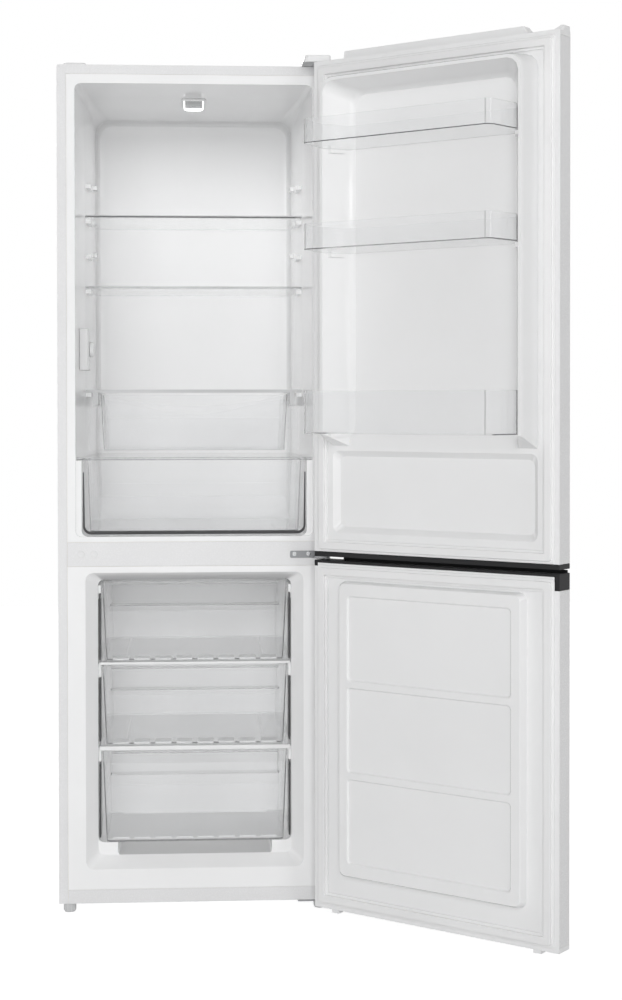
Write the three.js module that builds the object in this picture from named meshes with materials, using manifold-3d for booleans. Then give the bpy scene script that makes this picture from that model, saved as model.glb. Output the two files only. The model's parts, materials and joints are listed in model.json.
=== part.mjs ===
// Bottom freezer refrigerator with both doors standing open, in millimetres, +Z up.
// The model is drawn with its doors closed, around the middle of the cabinet's front plane at the
// cabinet's lower edge: +X right, +Y to the back. The doors then swing open about their pins.

import * as THREE from 'three';
import { mergeVertices } from 'three/addons/utils/BufferGeometryUtils.js';
import Module from 'manifold-3d';

const wasm = await Module();
wasm.setup();
const { Manifold, Mesh: SolidMesh } = wasm;

// ---- Cabinet ----
const CABINET_WIDTH = 595;
const CABINET_DEPTH = 592;
const BODY_HEIGHT = 1830;
const FOOT_HEIGHT = 20;
const SHEET = 1; // painted steel sheet
const STEEL_FLANGE = 20; // front return of the steel wrap
const REAR_FLANGE = 12;
const SHELL_RADIUS = 5;
const LINER_WALL = 1.5;
const CLEAR = 0.3; // between pieces that touch
const SIDE_FRAME = 38.4; // cabinet side to the fridge opening
const TOP_FRAME = 40;
const BOTTOM_FRAME = 74.4;
const RAIL_HEIGHT = 30;
const RAIL_DEPTH = 42;
const FREEZER_OPENING_HEIGHT = 649.6;
const FREEZER_LIP = 14;
const DIVIDER_HEIGHT = 53;
const FRIDGE_LIP = 11.5;
const SEAM_WIDTH = 0.8; // mitre seams in the corners of the steel flange
const SEAM_DEPTH = 0.5;
const BACK_DISH = 5; // the back sheet is pressed inwards inside its margin
const BACK_DISH_MARGIN = 45;
const BACK_DISH_RADIUS = 40;
const BASE_RIB = 4;
const BASE_RIB_HALF = 30;
const BASE_RIB_OFFSET = 140;
const BASE_RIB_END = 40;
const PLUG_RADIUS = 7.5;
const PLUG_HOLES = [50, 78.2]; // from the cabinet's left side
const TOP_PLUG_WIDTH = 48.5;
const TOP_PLUG_LENGTH = 54;
const TOP_PLUG_HEIGHT = 4;
const TOP_PLUG_INSET = 14.4;

// ---- Fridge compartment ----
const FRIDGE_DEPTH = 520;
const FRIDGE_CORNER = 13; // corner radius of the opening
const FLARE_DEPTH = 145; // front zone whose walls draw in quickly
const FLARE_INSET = 11.6;
const CEILING_DROP = 7;
const WALL_DRAFT = 10; // further draw-in up to the back corner
const BACK_FILLET = 30;
const CRISPER_BLOCK_INSET = 12.6; // side blocks beside the crisper
const CRISPER_BLOCK_SETBACK = 8;
const STUB_REACH = 9; // shelf supports and catches on the side walls
const STUB_HEIGHT = 9;
const STUB_NOSE = 4;
const SUPPORT_SETBACK = 45; // behind the flare
const SUPPORT_LENGTH = 85;
const CATCH_SETBACK = 230;
const CATCH_LENGTH = 40;
const CATCH_LIFT = 5; // above the shelf, to keep it from tipping
const SHELF_PITCH = 80;
const SHELF_DROP = 272.4; // upper glass shelf below the fridge opening's upper edge
const SHELF_ROWS = [1, 0, -1, -2]; // rows of supports, counted from the upper shelf
const LOWER_SHELF_ROW = -2;
const CRISPER_RUNNER = 9.2; // height of the crisper's runners on the floor
const CRISPER_RUNNER_X = 185;
const CRISPER_RUNNER_HALF = 3;
const CRISPER_RUNNER_SETBACK = 60;

// ---- Shelves, covers and drawers ----
const GLASS = 4;
const SHELF_DEPTH = 293;
const SHELF_SIDE_GAP = 2.5;
const FRONT_TRIM_HEIGHT = 8.4;
const FRONT_TRIM_DEPTH = 9;
const REAR_TRIM_DEPTH = 7;
const TRIM_SLOT_START = 3; // solid edge of a trim in front of its glass slot
const TRIM_LIP = 1.6;
const TRIM_END = 12; // a rear trim's end that passes over the supports
const TRAY_WALL = 2;
const PANEL_WALL = 3;
const CRISPER_HEIGHT = 157;
const CRISPER_FRONT = 22;
const CRISPER_DEPTH = 405;
const CRISPER_SIDE_GAP = 3.7;
const CRISPER_LEDGE_DROP = 53; // line across the front, below its upper edge
const CRISPER_LEDGE = 2.5;
const CRISPER_LEDGE_REACH = 5;
const COVER_THICKNESS = 6.6;
const COVER_STRIP_DEPTH = 12;
const CHILLER_HEIGHT = 127;
const CHILLER_LIFT = 12; // chiller drawer above the crisper cover
const CHILLER_SIDE_ROOM = 32.5; // between the chiller drawer and the side wall
const CHILLER_DEPTH = 285;
const CHILLER_COVER_GAP = 3.5;
const CHILLER_SCOOP = 27; // dip of the chiller drawer's front edge
const HANGER_HEIGHT = 31;
const HANGER_REACH = 11;
const HANGER_WALL = 2;
const HANGER_RAIL = 1;
const RUNNER_WALL = 2;

// ---- Freezer compartment ----
const FREEZER_SIDE_FRAME = 59.3;
const FREEZER_DEPTH = 470;
const FREEZER_CORNER = 17;
const FREEZER_INNER_CORNER = 12;
const FREEZER_FLARE_DEPTH = 30;
const FREEZER_FLARE_SIDE = 25.6;
const FREEZER_FLARE_BOTTOM = 24.5;
const FREEZER_FLARE_TOP = 18;
const PLINTH_HEIGHT = 27.7;
const PLINTH_WELL_INSET = 42.6; // from the narrow part of the freezer
const STEP_FRONT = 330; // the step over the compressor bay
const STEP_TOP = 300;
const STEP_SLOPE = 60;
const FREEZER_DRAWER_SIDE_GAP = 6;
const FREEZER_DRAWER_DEPTH = 405;
const BOTTOM_DRAWER_DEPTH = 290;
const BOTTOM_DRAWER_HEIGHT = 201.4;
const MIDDLE_DRAWER_HEIGHT = 172.7;
const TOP_DRAWER_HEIGHT = 173.6;
const FREEZER_SHELF_DEPTH = 400;
const DRAWER_SKID = 5;
const LOWER_TRIM_HEIGHT = 8.9;
const UPPER_TRIM_HEIGHT = 4.5;
const UPPER_SHELF_GAP = 3;
const FREEZER_TRIM_DEPTH = 10;
const FREEZER_WALL_DRAFT = 1.5;
const GUIDE_HEIGHT = 30; // side guides beside each drawer's rim
const GUIDE_LENGTH = 380;
const GRIP_INSET = 23.1; // from the drawer's sides
const GRIP_DEPTH = 24;
const GRIP_HEIGHT = 46;
const GRIP_RIM = 7;
const SKID_X = 150;
const SKID_WIDTH = 4;

// ---- Lamp and thermostat ----
const LAMP_HALF = 27;
const LAMP_SETBACK = 6;
const LAMP_LENGTH = 100;
const LAMP_PLATE = 4;
const LENS_HEIGHT = 9;
const LENS_MARGIN = 4;
const THERMOSTAT_FRONT = 66;
const THERMOSTAT_LENGTH = 76;
const THERMOSTAT_LIFT = 192; // above the crisper's cover
const THERMOSTAT_HEIGHT = 92;
const THERMOSTAT_REACH = 15;
const THERMOSTAT_CHAMFER = 4;
const DIAL_RADIUS = 17;
const DIAL_DEPTH = 5;
const DIAL_BAR = 2.5;
const SPINDLE_RADIUS = 3;

// ---- Compressor bay ----
const BAY_DEPTH = 200;
const BAY_HEIGHT = 250;
const BAY_SLOPE = 55;
const ROLLER_RADIUS = 14;
const ROLLER_WIDTH = 16;
const ROLLER_OFFSET = 250;
const ROLLER_FROM_BACK = 32;
const AXLE_RADIUS = 3;
const COMPRESSOR_RADIUS = 75;
const COMPRESSOR_HEIGHT = 150;
const COMPRESSOR_X = -60;
const MOUNT_HEIGHT = 12;
const PAD_X = 78; // the compressor's four rubber mounts, from its middle
const PAD_Y = 48;
const PAD_HEIGHT = 3;
const PAD_RADIUS = 7;
const GROMMET_RADIUS = 10;
const EAR_THICKNESS = 2; // ears that hold a roller's axle
const EAR_HALF = 10;
const STIFFENER_HEIGHT = 14;
const TRAY_HALF_X = 95; // drip tray on the compressor
const TRAY_HALF_Y = 68;
const TRAY_HEIGHT = 26;
const TUBE_RADIUS = 3.2;
const DRIER_RADIUS = 10;
const DRIER_OFFSET = 75;

// ---- Feet ----
const FOOT_RADIUS = 14;
const FOOT_INSET = 22.7;
const FOOT_SETBACK = 17.5;
const STEM_RADIUS = 4;
const STEM_REACH = 12;
const LOBE_COUNT = 14;
const LOBE_DEPTH = 1.4;
const FOOT_PAD = 3;

// ---- Doors and hinges ----
const DOOR_INSET = 0.5; // each side, against the cabinet
const DOOR_THICKNESS = 48;
const DOOR_GAP = 9; // cabinet front to the door's inner face
const DOOR_EDGE_RADIUS = 6;
const OPEN_ANGLE = 140.5;
const PIN_INSET = 10.5;
const PIN_FORWARD = 41;
const PIN_RADIUS = 4;
const PIN_REACH = 13;
const HINGE_PLATE = 3;
const ARM_HALF = 6;
const HINGE_ROOT = 88.6; // inner end of the middle hinge's plate, from the cabinet's side
const PLATE_SCREWS = [9.9, 40.7];
const BRACKET_SCREWS = [16, 38];
const SCREW_RADIUS = 5;
const COVER_BACK = 60; // cap over the top hinge
const COVER_HEIGHT = 14.7;
const COVER_WALL = 2;
const COVER_REACH = 52.5;
const HINGE_LEVEL = 19; // middle hinge arm above the divider's lower edge
const ARM_TO_LOWER_DOOR = 2;
const ARM_TO_UPPER_DOOR = 3.5;
const DOOR_TOP_DROP = 1.5;
const LOWER_DOOR_BOTTOM = 2;
const RETURN_LIP = 12;
const GASKET_INSET = 10;
const GASKET_WIDTH = 26;
const GASKET_BASE = 2.6;
const GASKET_MAGNET_WIDTH = 15;
const TOP_CAP_HEIGHT = 10.5;
const TOP_RIDGE_HEIGHT = 19.5;
const TOP_RIDGE_FROM = 64;
const TOP_RIDGE_TO = 518;
const TOP_RIDGE_INSET = 18;
const BOTTOM_CAP_HEIGHT = 10.5;
const GRIP_CAP_HEIGHT = 33;
const GRIP_CAP_BAND = 5.6;
const GRIP_CAP_END = 11;
const CAP_NOTCH_WIDTH = 8; // the liner's corner that reaches up beside the grip cap
const CAP_NOTCH_TOP = 12;
const GRIP_SCOOP_RADIUS = 30;
const DYKE_HEIGHT = 57;
const DYKE_INSET = 48.5; // from the door's sides
const DYKE_CREST = 13.5;
const DYKE_DROP = 3; // below the fridge opening's upper edge
const DYKE_BOTTOM = 200; // above the fridge opening's lower edge
const DYKE_END_SLOPE = 26;
const RECESS_SLOPE = 30;
const RECESS_DEPTH = 10;
const FIELD_DEPTH = 12;
const FIELD_BOTTOM = 14.5;
const FIELD_TOP = 189.5;
const PLATFORM_HEIGHT = 20;
const PLATFORM_SIDE = 73;
const PLATFORM_BOTTOM = 80;
const PLATFORM_TOP = 40.5;
const PANEL_SIDE = 25;
const PANEL_DEPTH = 4;
const PANEL_COUNT = 3;
const PANEL_HEIGHT = 182;
const PANEL_GAP = 13;
const STOP_TAB_HEIGHT = 8;
const STOP_TAB_WIDTH = 18;
const STOP_TAB_INSET = 42;
const BOTTOM_PLATE = 10;

// ---- Door balconies ----
const BALCONY_REACH = 147;
const BALCONY_FRONT_HALF = 225;
const BALCONY_CORNER = 14;
const BALCONY_WALL = 2.2;
const BALCONY_BACK = 3;
const BALCONY_GAP = 2;
const UPPER_BALCONY_DROP = 156; // below the door dyke's upper edge
const UPPER_BALCONY_HEIGHT = 51;
const MIDDLE_BALCONY_DROP = 376;
const MIDDLE_BALCONY_HEIGHT = 54;
const BOTTLE_BALCONY_LIFT = 28.5; // above the dyke's lower edge
const BOTTLE_BALCONY_HEIGHT = 88;
const LEDGE_REACH = 8; // pads on the dyke that carry a balcony
const LEDGE_FRONT = 15;
const LEDGE_BACK = 45;

// ---- Levels and planes that follow from the sizes above ----
const halfWidth = CABINET_WIDTH / 2;
const insideHalf = halfWidth - SHEET - CLEAR;
const flangeHalf = halfWidth - STEEL_FLANGE;
const doorHalf = halfWidth - DOOR_INSET;
const freezerBottom = BOTTOM_FRAME;
const freezerTop = freezerBottom + FREEZER_OPENING_HEIGHT;
const dividerBottom = freezerTop + FREEZER_LIP;
const dividerTop = dividerBottom + DIVIDER_HEIGHT;
const fridgeBottom = dividerTop + FRIDGE_LIP;
const fridgeTop = BODY_HEIGHT - TOP_FRAME;
const fridgeCeiling = fridgeTop - CEILING_DROP;
const fridgeHalf = halfWidth - SIDE_FRAME;
const fridgeHalfFlare = fridgeHalf - FLARE_INSET;
const filletStart = FRIDGE_DEPTH - BACK_FILLET;
const fridgeHalfBack = fridgeHalfFlare - WALL_DRAFT;
const shelfTop = fridgeTop - SHELF_DROP;
const lowerShelfLevel = shelfTop + LOWER_SHELF_ROW * SHELF_PITCH;
const crisperBottom = fridgeBottom + CRISPER_RUNNER + CLEAR;
const crisperTop = crisperBottom + CRISPER_HEIGHT;
const crisperCoverBottom = crisperTop + CLEAR;
const blockTop = crisperCoverBottom - CLEAR;
const chillerBottom = crisperCoverBottom + COVER_THICKNESS + CHILLER_LIFT;
const chillerTop = chillerBottom + CHILLER_HEIGHT;
const chillerCoverBottom = chillerTop + CHILLER_COVER_GAP;
const chillerHalf = fridgeHalfFlare - CHILLER_SIDE_ROOM;
const hangerWeb = chillerHalf + HANGER_REACH;
const hangerBottom = chillerCoverBottom - HANGER_HEIGHT;
const hangerLipTop = hangerBottom + HANGER_WALL;
const thermostatBottom = crisperCoverBottom + COVER_THICKNESS + THERMOSTAT_LIFT;
const dialY = THERMOSTAT_FRONT + THERMOSTAT_LENGTH / 2;
const dialZ = thermostatBottom + THERMOSTAT_HEIGHT / 2;
const bayFront = CABINET_DEPTH - BAY_DEPTH;
const freezerHalf = halfWidth - FREEZER_SIDE_FRAME;
const freezerInnerHalf = freezerHalf - FREEZER_FLARE_SIDE;
const freezerFloor = freezerBottom + FREEZER_FLARE_BOTTOM;
const freezerCeiling = freezerTop - FREEZER_FLARE_TOP;
const plinthTop = freezerFloor + PLINTH_HEIGHT;
const wellHalf = freezerInnerHalf - PLINTH_WELL_INSET;
const drawerHalf = freezerInnerHalf - FREEZER_DRAWER_SIDE_GAP;
const gripHalf = drawerHalf - GRIP_INSET;
const drawerFront = FREEZER_FLARE_DEPTH;
const bottomDrawer = { z: plinthTop + CLEAR, height: BOTTOM_DRAWER_HEIGHT };
const lowerShelfTop = bottomDrawer.z + BOTTOM_DRAWER_HEIGHT + CLEAR + LOWER_TRIM_HEIGHT;
const middleDrawer = { z: lowerShelfTop + DRAWER_SKID + CLEAR, height: MIDDLE_DRAWER_HEIGHT };
const upperShelfTop = middleDrawer.z + MIDDLE_DRAWER_HEIGHT + UPPER_SHELF_GAP + UPPER_TRIM_HEIGHT;
const topDrawer = { z: upperShelfTop + DRAWER_SKID + CLEAR, height: TOP_DRAWER_HEIGHT };
const guideFront = drawerFront + FREEZER_TRIM_DEPTH + 2;
const backHalf = halfWidth - REAR_FLANGE - CLEAR;
const backTop = BODY_HEIGHT - REAR_FLANGE - CLEAR;
const backSheetBottom = BAY_HEIGHT + SHEET + CLEAR;
const footX = halfWidth - FOOT_INSET;
const stemHole = STEM_RADIUS + CLEAR;
const bossRadius = STEM_RADIUS * 2;
const rollerY = CABINET_DEPTH - ROLLER_FROM_BACK;
const rollerZ = ROLLER_RADIUS - FOOT_HEIGHT;
const compressorY = CABINET_DEPTH - BAY_DEPTH / 2;
const padTop = SHEET * 2 + PAD_HEIGHT;
const compressorBottom = padTop + MOUNT_HEIGHT;
const compressorTop = compressorBottom + COMPRESSOR_HEIGHT;
const doorBack = -DOOR_GAP;
const doorFront = doorBack - DOOR_THICKNESS;
const pinX = halfWidth - PIN_INSET;
const pinY = -PIN_FORWARD;
const armBottom = dividerBottom + HINGE_LEVEL;
const armTop = armBottom + HINGE_PLATE;
const lowerDoorTop = armBottom - ARM_TO_LOWER_DOOR;
const upperDoorBottom = armTop + ARM_TO_UPPER_DOOR;
const upperDoorTop = BODY_HEIGHT - DOOR_TOP_DROP;
const hingeEnd = pinX + ARM_HALF;
const hingeCoverBottom = BODY_HEIGHT + CLEAR;
const bottomHingeZ = -HINGE_PLATE - CLEAR;
const skinInside = doorHalf - SHEET;
const linerBack = doorBack - LINER_WALL;
const skinBottom = upperDoorBottom + BOTTOM_CAP_HEIGHT + CLEAR;
const skinTop = upperDoorTop - TOP_CAP_HEIGHT - CLEAR;
const dykeTop = fridgeTop - DYKE_DROP;
const dykeBottom = fridgeBottom + DYKE_BOTTOM;
const dykeHalf = doorHalf - DYKE_INSET;
const recessHalf = dykeHalf - DYKE_CREST;
const recessTop = dykeTop - DYKE_CREST;
const lowerCapBottom = lowerDoorTop - GRIP_CAP_HEIGHT;
const lowerLinerTop = lowerDoorTop - GRIP_CAP_BAND;
const lowerBaseTop = LOWER_DOOR_BOTTOM + BOTTOM_PLATE;
const platformHalf = doorHalf - PLATFORM_SIDE;
const platformBottom = LOWER_DOOR_BOTTOM + PLATFORM_BOTTOM;
const platformTop = lowerDoorTop - PLATFORM_TOP;
const BALCONIES = [
  { name: 'upper_balcony', bottom: dykeTop - UPPER_BALCONY_DROP, height: UPPER_BALCONY_HEIGHT },
  { name: 'middle_balcony', bottom: dykeTop - MIDDLE_BALCONY_DROP, height: MIDDLE_BALCONY_HEIGHT },
  { name: 'bottle_balcony', bottom: dykeBottom + BOTTLE_BALCONY_LIFT, height: BOTTLE_BALCONY_HEIGHT },
];

// ---- Materials ----
function material(color, roughness, metalness = 0) {
  return new THREE.MeshStandardMaterial({ color, roughness, metalness });
}
const whiteSteel = material(0xe6e7e9, 0.35);
const whitePlastic = material(0xe9eaeb, 0.4);
const clearPlastic = material(0xd3d8da, 0.15);
const clearGlass = material(0xd9e4e0, 0.1);
const blackPlastic = material(0x1c1c1e, 0.45);
const hingeSteel = material(0x8b8e92, 0.35, 0.9);
const galvanised = material(0xa9adb0, 0.5, 0.8);
const darkSteel = material(0x232427, 0.5, 0.4);
const copper = material(0xa8683c, 0.35, 0.9);
const foamYellow = material(0xd8cf9f, 0.9);
const softWhite = material(0xdedfdf, 0.7);
const footGrey = material(0xb9bbbc, 0.55);

// ---- Solids ----
const CORNER_STEPS = 3; // straight pieces in a rounded corner

function toSolid(geometry) {
  const bare = geometry.clone();
  bare.deleteAttribute('normal');
  bare.deleteAttribute('uv');
  const merged = mergeVertices(bare, 1e-4);
  const vertProperties = new Float32Array(merged.attributes.position.array);
  const triVerts = new Uint32Array(merged.index.array);
  return new Manifold(new SolidMesh({ numProp: 3, vertProperties, triVerts }));
}

function join(first, ...others) {
  return others.reduce((whole, piece) => whole.add(piece), first);
}

function cut(whole, ...tools) {
  return tools.reduce((left, tool) => left.subtract(tool), whole);
}

function box(x0, x1, y0, y1, z0, z1) {
  const geometry = new THREE.BoxGeometry(x1 - x0, y1 - y0, z1 - z0);
  geometry.translate((x0 + x1) / 2, (y0 + y1) / 2, (z0 + z1) / 2);
  return toSolid(geometry);
}

// Shape with rounded corners; radii run from the low corner counterclockwise.
function roundedRect(a0, a1, b0, b1, radii) {
  const [r0, r1, r2, r3] = Array.isArray(radii) ? radii : [radii, radii, radii, radii];
  const shape = new THREE.Shape();
  shape.moveTo(a0 + r0, b0);
  shape.lineTo(a1 - r1, b0);
  if (r1 > 0) shape.absarc(a1 - r1, b0 + r1, r1, -Math.PI / 2, 0);
  shape.lineTo(a1, b1 - r2);
  if (r2 > 0) shape.absarc(a1 - r2, b1 - r2, r2, 0, Math.PI / 2);
  shape.lineTo(a0 + r3, b1);
  if (r3 > 0) shape.absarc(a0 + r3, b1 - r3, r3, Math.PI / 2, Math.PI);
  shape.lineTo(a0, b0 + r0);
  if (r0 > 0) shape.absarc(a0 + r0, b0 + r0, r0, Math.PI, Math.PI * 1.5);
  return shape;
}

function polygon(points) {
  return new THREE.Shape(points.map(([a, b]) => new THREE.Vector2(a, b)));
}

function extrude(shape, depth, curveSegments) {
  return new THREE.ExtrudeGeometry(shape, { depth, bevelEnabled: false, curveSegments });
}

// Prisms of a shape drawn in XY, XZ or YZ.
function prismZ(shape, z0, z1, curveSegments = 3) {
  return toSolid(extrude(shape, z1 - z0, curveSegments).translate(0, 0, z0));
}

function prismY(shape, y0, y1, curveSegments = 3) {
  return toSolid(extrude(shape, y1 - y0, curveSegments).rotateX(Math.PI / 2).translate(0, y1, 0));
}

function prismX(shape, x0, x1, curveSegments = 3) {
  const axes = new THREE.Matrix4().makeBasis(
    new THREE.Vector3(0, 1, 0),
    new THREE.Vector3(0, 0, 1),
    new THREE.Vector3(1, 0, 0),
  );
  return toSolid(extrude(shape, x1 - x0, curveSegments).applyMatrix4(axes).translate(x0, 0, 0));
}

function rod(from, to, radius, sides = 16) {
  const start = new THREE.Vector3(...from);
  const end = new THREE.Vector3(...to);
  const along = end.clone().sub(start);
  const geometry = new THREE.CylinderGeometry(radius, radius, along.length(), sides);
  const turn = new THREE.Quaternion().setFromUnitVectors(new THREE.Vector3(0, 1, 0), along.normalize());
  const middle = start.add(end).multiplyScalar(0.5);
  geometry.applyQuaternion(turn).translate(middle.x, middle.y, middle.z);
  return toSolid(geometry);
}

function revolve(profile, x, y, sides = 24) {
  const points = profile.map(([radius, height]) => new THREE.Vector2(radius, height));
  return toSolid(new THREE.LatheGeometry(points, sides).rotateX(Math.PI / 2).translate(x, y, 0));
}

function pipe(points, radius, steps = 14) {
  const route = new THREE.CatmullRomCurve3(points.map((point) => new THREE.Vector3(...point)));
  const section = new THREE.Shape().absarc(0, 0, radius, 0, Math.PI * 2);
  return toSolid(new THREE.ExtrudeGeometry(section, { extrudePath: route, steps, curveSegments: 4 }));
}

// Points of a rounded rectangle; a and b are its two directions.
function roundedRing({ a0, a1, b0, b1, radii }) {
  const [r0, r1, r2, r3] = Array.isArray(radii) ? radii : [radii, radii, radii, radii];
  const corners = [
    [a0 + r0, b0 + r0, r0, Math.PI],
    [a1 - r1, b0 + r1, r1, Math.PI * 1.5],
    [a1 - r2, b1 - r2, r2, 0],
    [a0 + r3, b1 - r3, r3, Math.PI / 2],
  ];
  const points = [];
  for (const [a, b, radius, start] of corners) {
    for (let step = 0; step <= CORNER_STEPS; step += 1) {
      const angle = start + (Math.PI / 2) * (step / CORNER_STEPS);
      points.push([a + radius * Math.cos(angle), b + radius * Math.sin(angle)]);
    }
  }
  return points;
}

// Closed skin over rings that all have the same number of points.
function loft(rings) {
  const count = rings[0].length;
  const positions = rings.flat(2);
  const faces = [];
  for (let row = 0; row + 1 < rings.length; row += 1) {
    for (let column = 0; column < count; column += 1) {
      const next = (column + 1) % count;
      const low = row * count;
      const high = low + count;
      faces.push(low + column, low + next, high + next);
      faces.push(low + column, high + next, high + column);
    }
  }
  const last = (rings.length - 1) * count;
  for (let column = 1; column + 1 < count; column += 1) {
    faces.push(0, column + 1, column);
    faces.push(last, last + column, last + column + 1);
  }
  const geometry = new THREE.BufferGeometry();
  geometry.setAttribute('position', new THREE.Float32BufferAttribute(positions, 3));
  geometry.setIndex(faces);
  return toSolid(geometry);
}

// Rings stand across Z (plan sections) or across Y (front sections).
function loftZ(sections) {
  return loft(sections.map((section) => roundedRing({
    a0: section.x0,
    a1: section.x1,
    b0: section.y0,
    b1: section.y1,
    radii: section.radii,
  }).map(([x, y]) => [x, y, section.z])));
}

function loftY(sections) {
  const rings = sections.map((section) => roundedRing({
    a0: -section.half,
    a1: section.half,
    b0: section.z0,
    b1: section.z1,
    radii: section.radii,
  }).map(([x, z]) => [x, section.y, z]));
  return loft(rings.reverse());
}

function bothSides(solid) {
  return join(solid, solid.mirror([1, 0, 0]));
}

function meshOf(name, solid, finish) {
  const data = solid.getMesh();
  const positions = new Float32Array(data.triVerts.length * 3);
  data.triVerts.forEach((vertex, index) => {
    for (let axis = 0; axis < 3; axis += 1) {
      positions[index * 3 + axis] = data.vertProperties[vertex * data.numProp + axis];
    }
  });
  const geometry = new THREE.BufferGeometry();
  geometry.setAttribute('position', new THREE.BufferAttribute(positions, 3));
  geometry.computeVertexNormals();
  const mesh = new THREE.Mesh(geometry, finish);
  mesh.name = name;
  return mesh;
}

// ---- Cabinet walls ----
function outerShell() {
  const inner = halfWidth - SHEET;
  const corners = [0, 0, SHELL_RADIUS, SHELL_RADIUS];
  const innerCorners = [0, 0, SHELL_RADIUS - SHEET, SHELL_RADIUS - SHEET];
  const wrap = prismY(roundedRect(-halfWidth, halfWidth, 0, BODY_HEIGHT, corners), 0, CABINET_DEPTH);
  const inside = roundedRect(-inner, inner, -SHEET, BODY_HEIGHT - SHEET, innerCorners);
  const front = roundedRect(-flangeHalf, flangeHalf, -SHEET, BODY_HEIGHT - STEEL_FLANGE, 0);
  const rearHalf = halfWidth - REAR_FLANGE;
  const rear = roundedRect(-rearHalf, rearHalf, -SHEET, BODY_HEIGHT - REAR_FLANGE, 0);
  return cut(
    wrap,
    prismY(inside, SHEET, CABINET_DEPTH - SHEET),
    prismY(front, -SHEET, SHEET * 2),
    prismY(rear, CABINET_DEPTH - SHEET * 2, CABINET_DEPTH + SHEET),
    bothSides(flangeSeam()),
  );
}

// Shallow groove along the mitre where the flange turns its upper corner.
function flangeSeam() {
  const half = SEAM_WIDTH / 2;
  const low = [flangeHalf - SHEET, BODY_HEIGHT - STEEL_FLANGE - SHEET];
  const high = [halfWidth + SHEET, BODY_HEIGHT + SHEET];
  const line = polygon([
    [low[0] - half, low[1]],
    [low[0] + half, low[1]],
    [high[0] + half, high[1]],
    [high[0] - half, high[1]],
  ]);
  return prismY(line, -SHEET, SEAM_DEPTH);
}

function backPanel() {
  const sheet = box(-backHalf, backHalf, CABINET_DEPTH - SHEET, CABINET_DEPTH, backSheetBottom, backTop);
  const dish = (grow, y0, y1) => loftY([
    dishSection(y0, BACK_DISH + grow),
    dishSection(y1, grow),
  ]);
  const outside = dish(0, CABINET_DEPTH - BACK_DISH, CABINET_DEPTH - SHEET / 2);
  const inside = dish(SHEET, CABINET_DEPTH - BACK_DISH + SHEET, CABINET_DEPTH + SHEET);
  return cut(join(sheet, outside), inside);
}

function dishSection(y, inset) {
  return {
    y,
    half: backHalf - BACK_DISH_MARGIN - inset,
    z0: backSheetBottom + BACK_DISH_MARGIN + inset,
    z1: backTop - BACK_DISH_MARGIN - inset,
    radii: BACK_DISH_RADIUS,
  };
}

function frontRail() {
  const webHalf = flangeHalf - CLEAR;
  const web = box(-webHalf, webHalf, 0, SHEET, 0, RAIL_HEIGHT);
  const base = box(-insideHalf, insideHalf, SHEET + CLEAR, RAIL_DEPTH, 0, SHEET * 2);
  const fold = box(-webHalf, webHalf, 0, SHEET * 2, 0, SHEET * 2);
  const boss = bothSides(rod([footX, FOOT_SETBACK, SHEET], [footX, FOOT_SETBACK, STEM_REACH], bossRadius));
  const hole = rod([footX, FOOT_SETBACK, -SHEET], [footX, FOOT_SETBACK, STEM_REACH * 2], stemHole);
  return cut(join(web, base, fold, boss), bothSides(hole));
}

function basePanel() {
  const back = bayFront - SHEET - CLEAR;
  const plate = box(-insideHalf, insideHalf, RAIL_DEPTH + CLEAR, back, 0, SHEET);
  return join(plate, bothSides(baseRib(RAIL_DEPTH + BASE_RIB_END, bayFront - BASE_RIB_END, BASE_RIB)));
}

function baseRib(y0, y1, top) {
  return box(BASE_RIB_OFFSET - BASE_RIB_HALF, BASE_RIB_OFFSET + BASE_RIB_HALF, y0, y1, 0, top);
}

// Side view of the bay's roof: front wall, slope and roof, grown outwards by a distance.
function bayOutline(grow) {
  const rise = grow * Math.tan(Math.PI / 8);
  return [
    [bayFront - grow, 0],
    [bayFront - grow, BAY_HEIGHT - BAY_SLOPE + rise],
    [bayFront + BAY_SLOPE - rise, BAY_HEIGHT + grow],
    [CABINET_DEPTH - SHEET - CLEAR, BAY_HEIGHT + grow],
  ];
}

function bayBulkhead() {
  const outer = bayOutline(SHEET);
  const inner = bayOutline(0).reverse();
  return prismX(polygon([...outer, ...inner]), -insideHalf, insideHalf);
}

function bayVoid(grow) {
  const back = CABINET_DEPTH + SHEET;
  const front = bayFront - grow;
  const roof = bayOutline(grow).slice(0, 3);
  const outline = [[front, -SHEET], ...roof, [back, BAY_HEIGHT + grow], [back, -SHEET]];
  return prismX(polygon(outline), -halfWidth, halfWidth);
}

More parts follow.
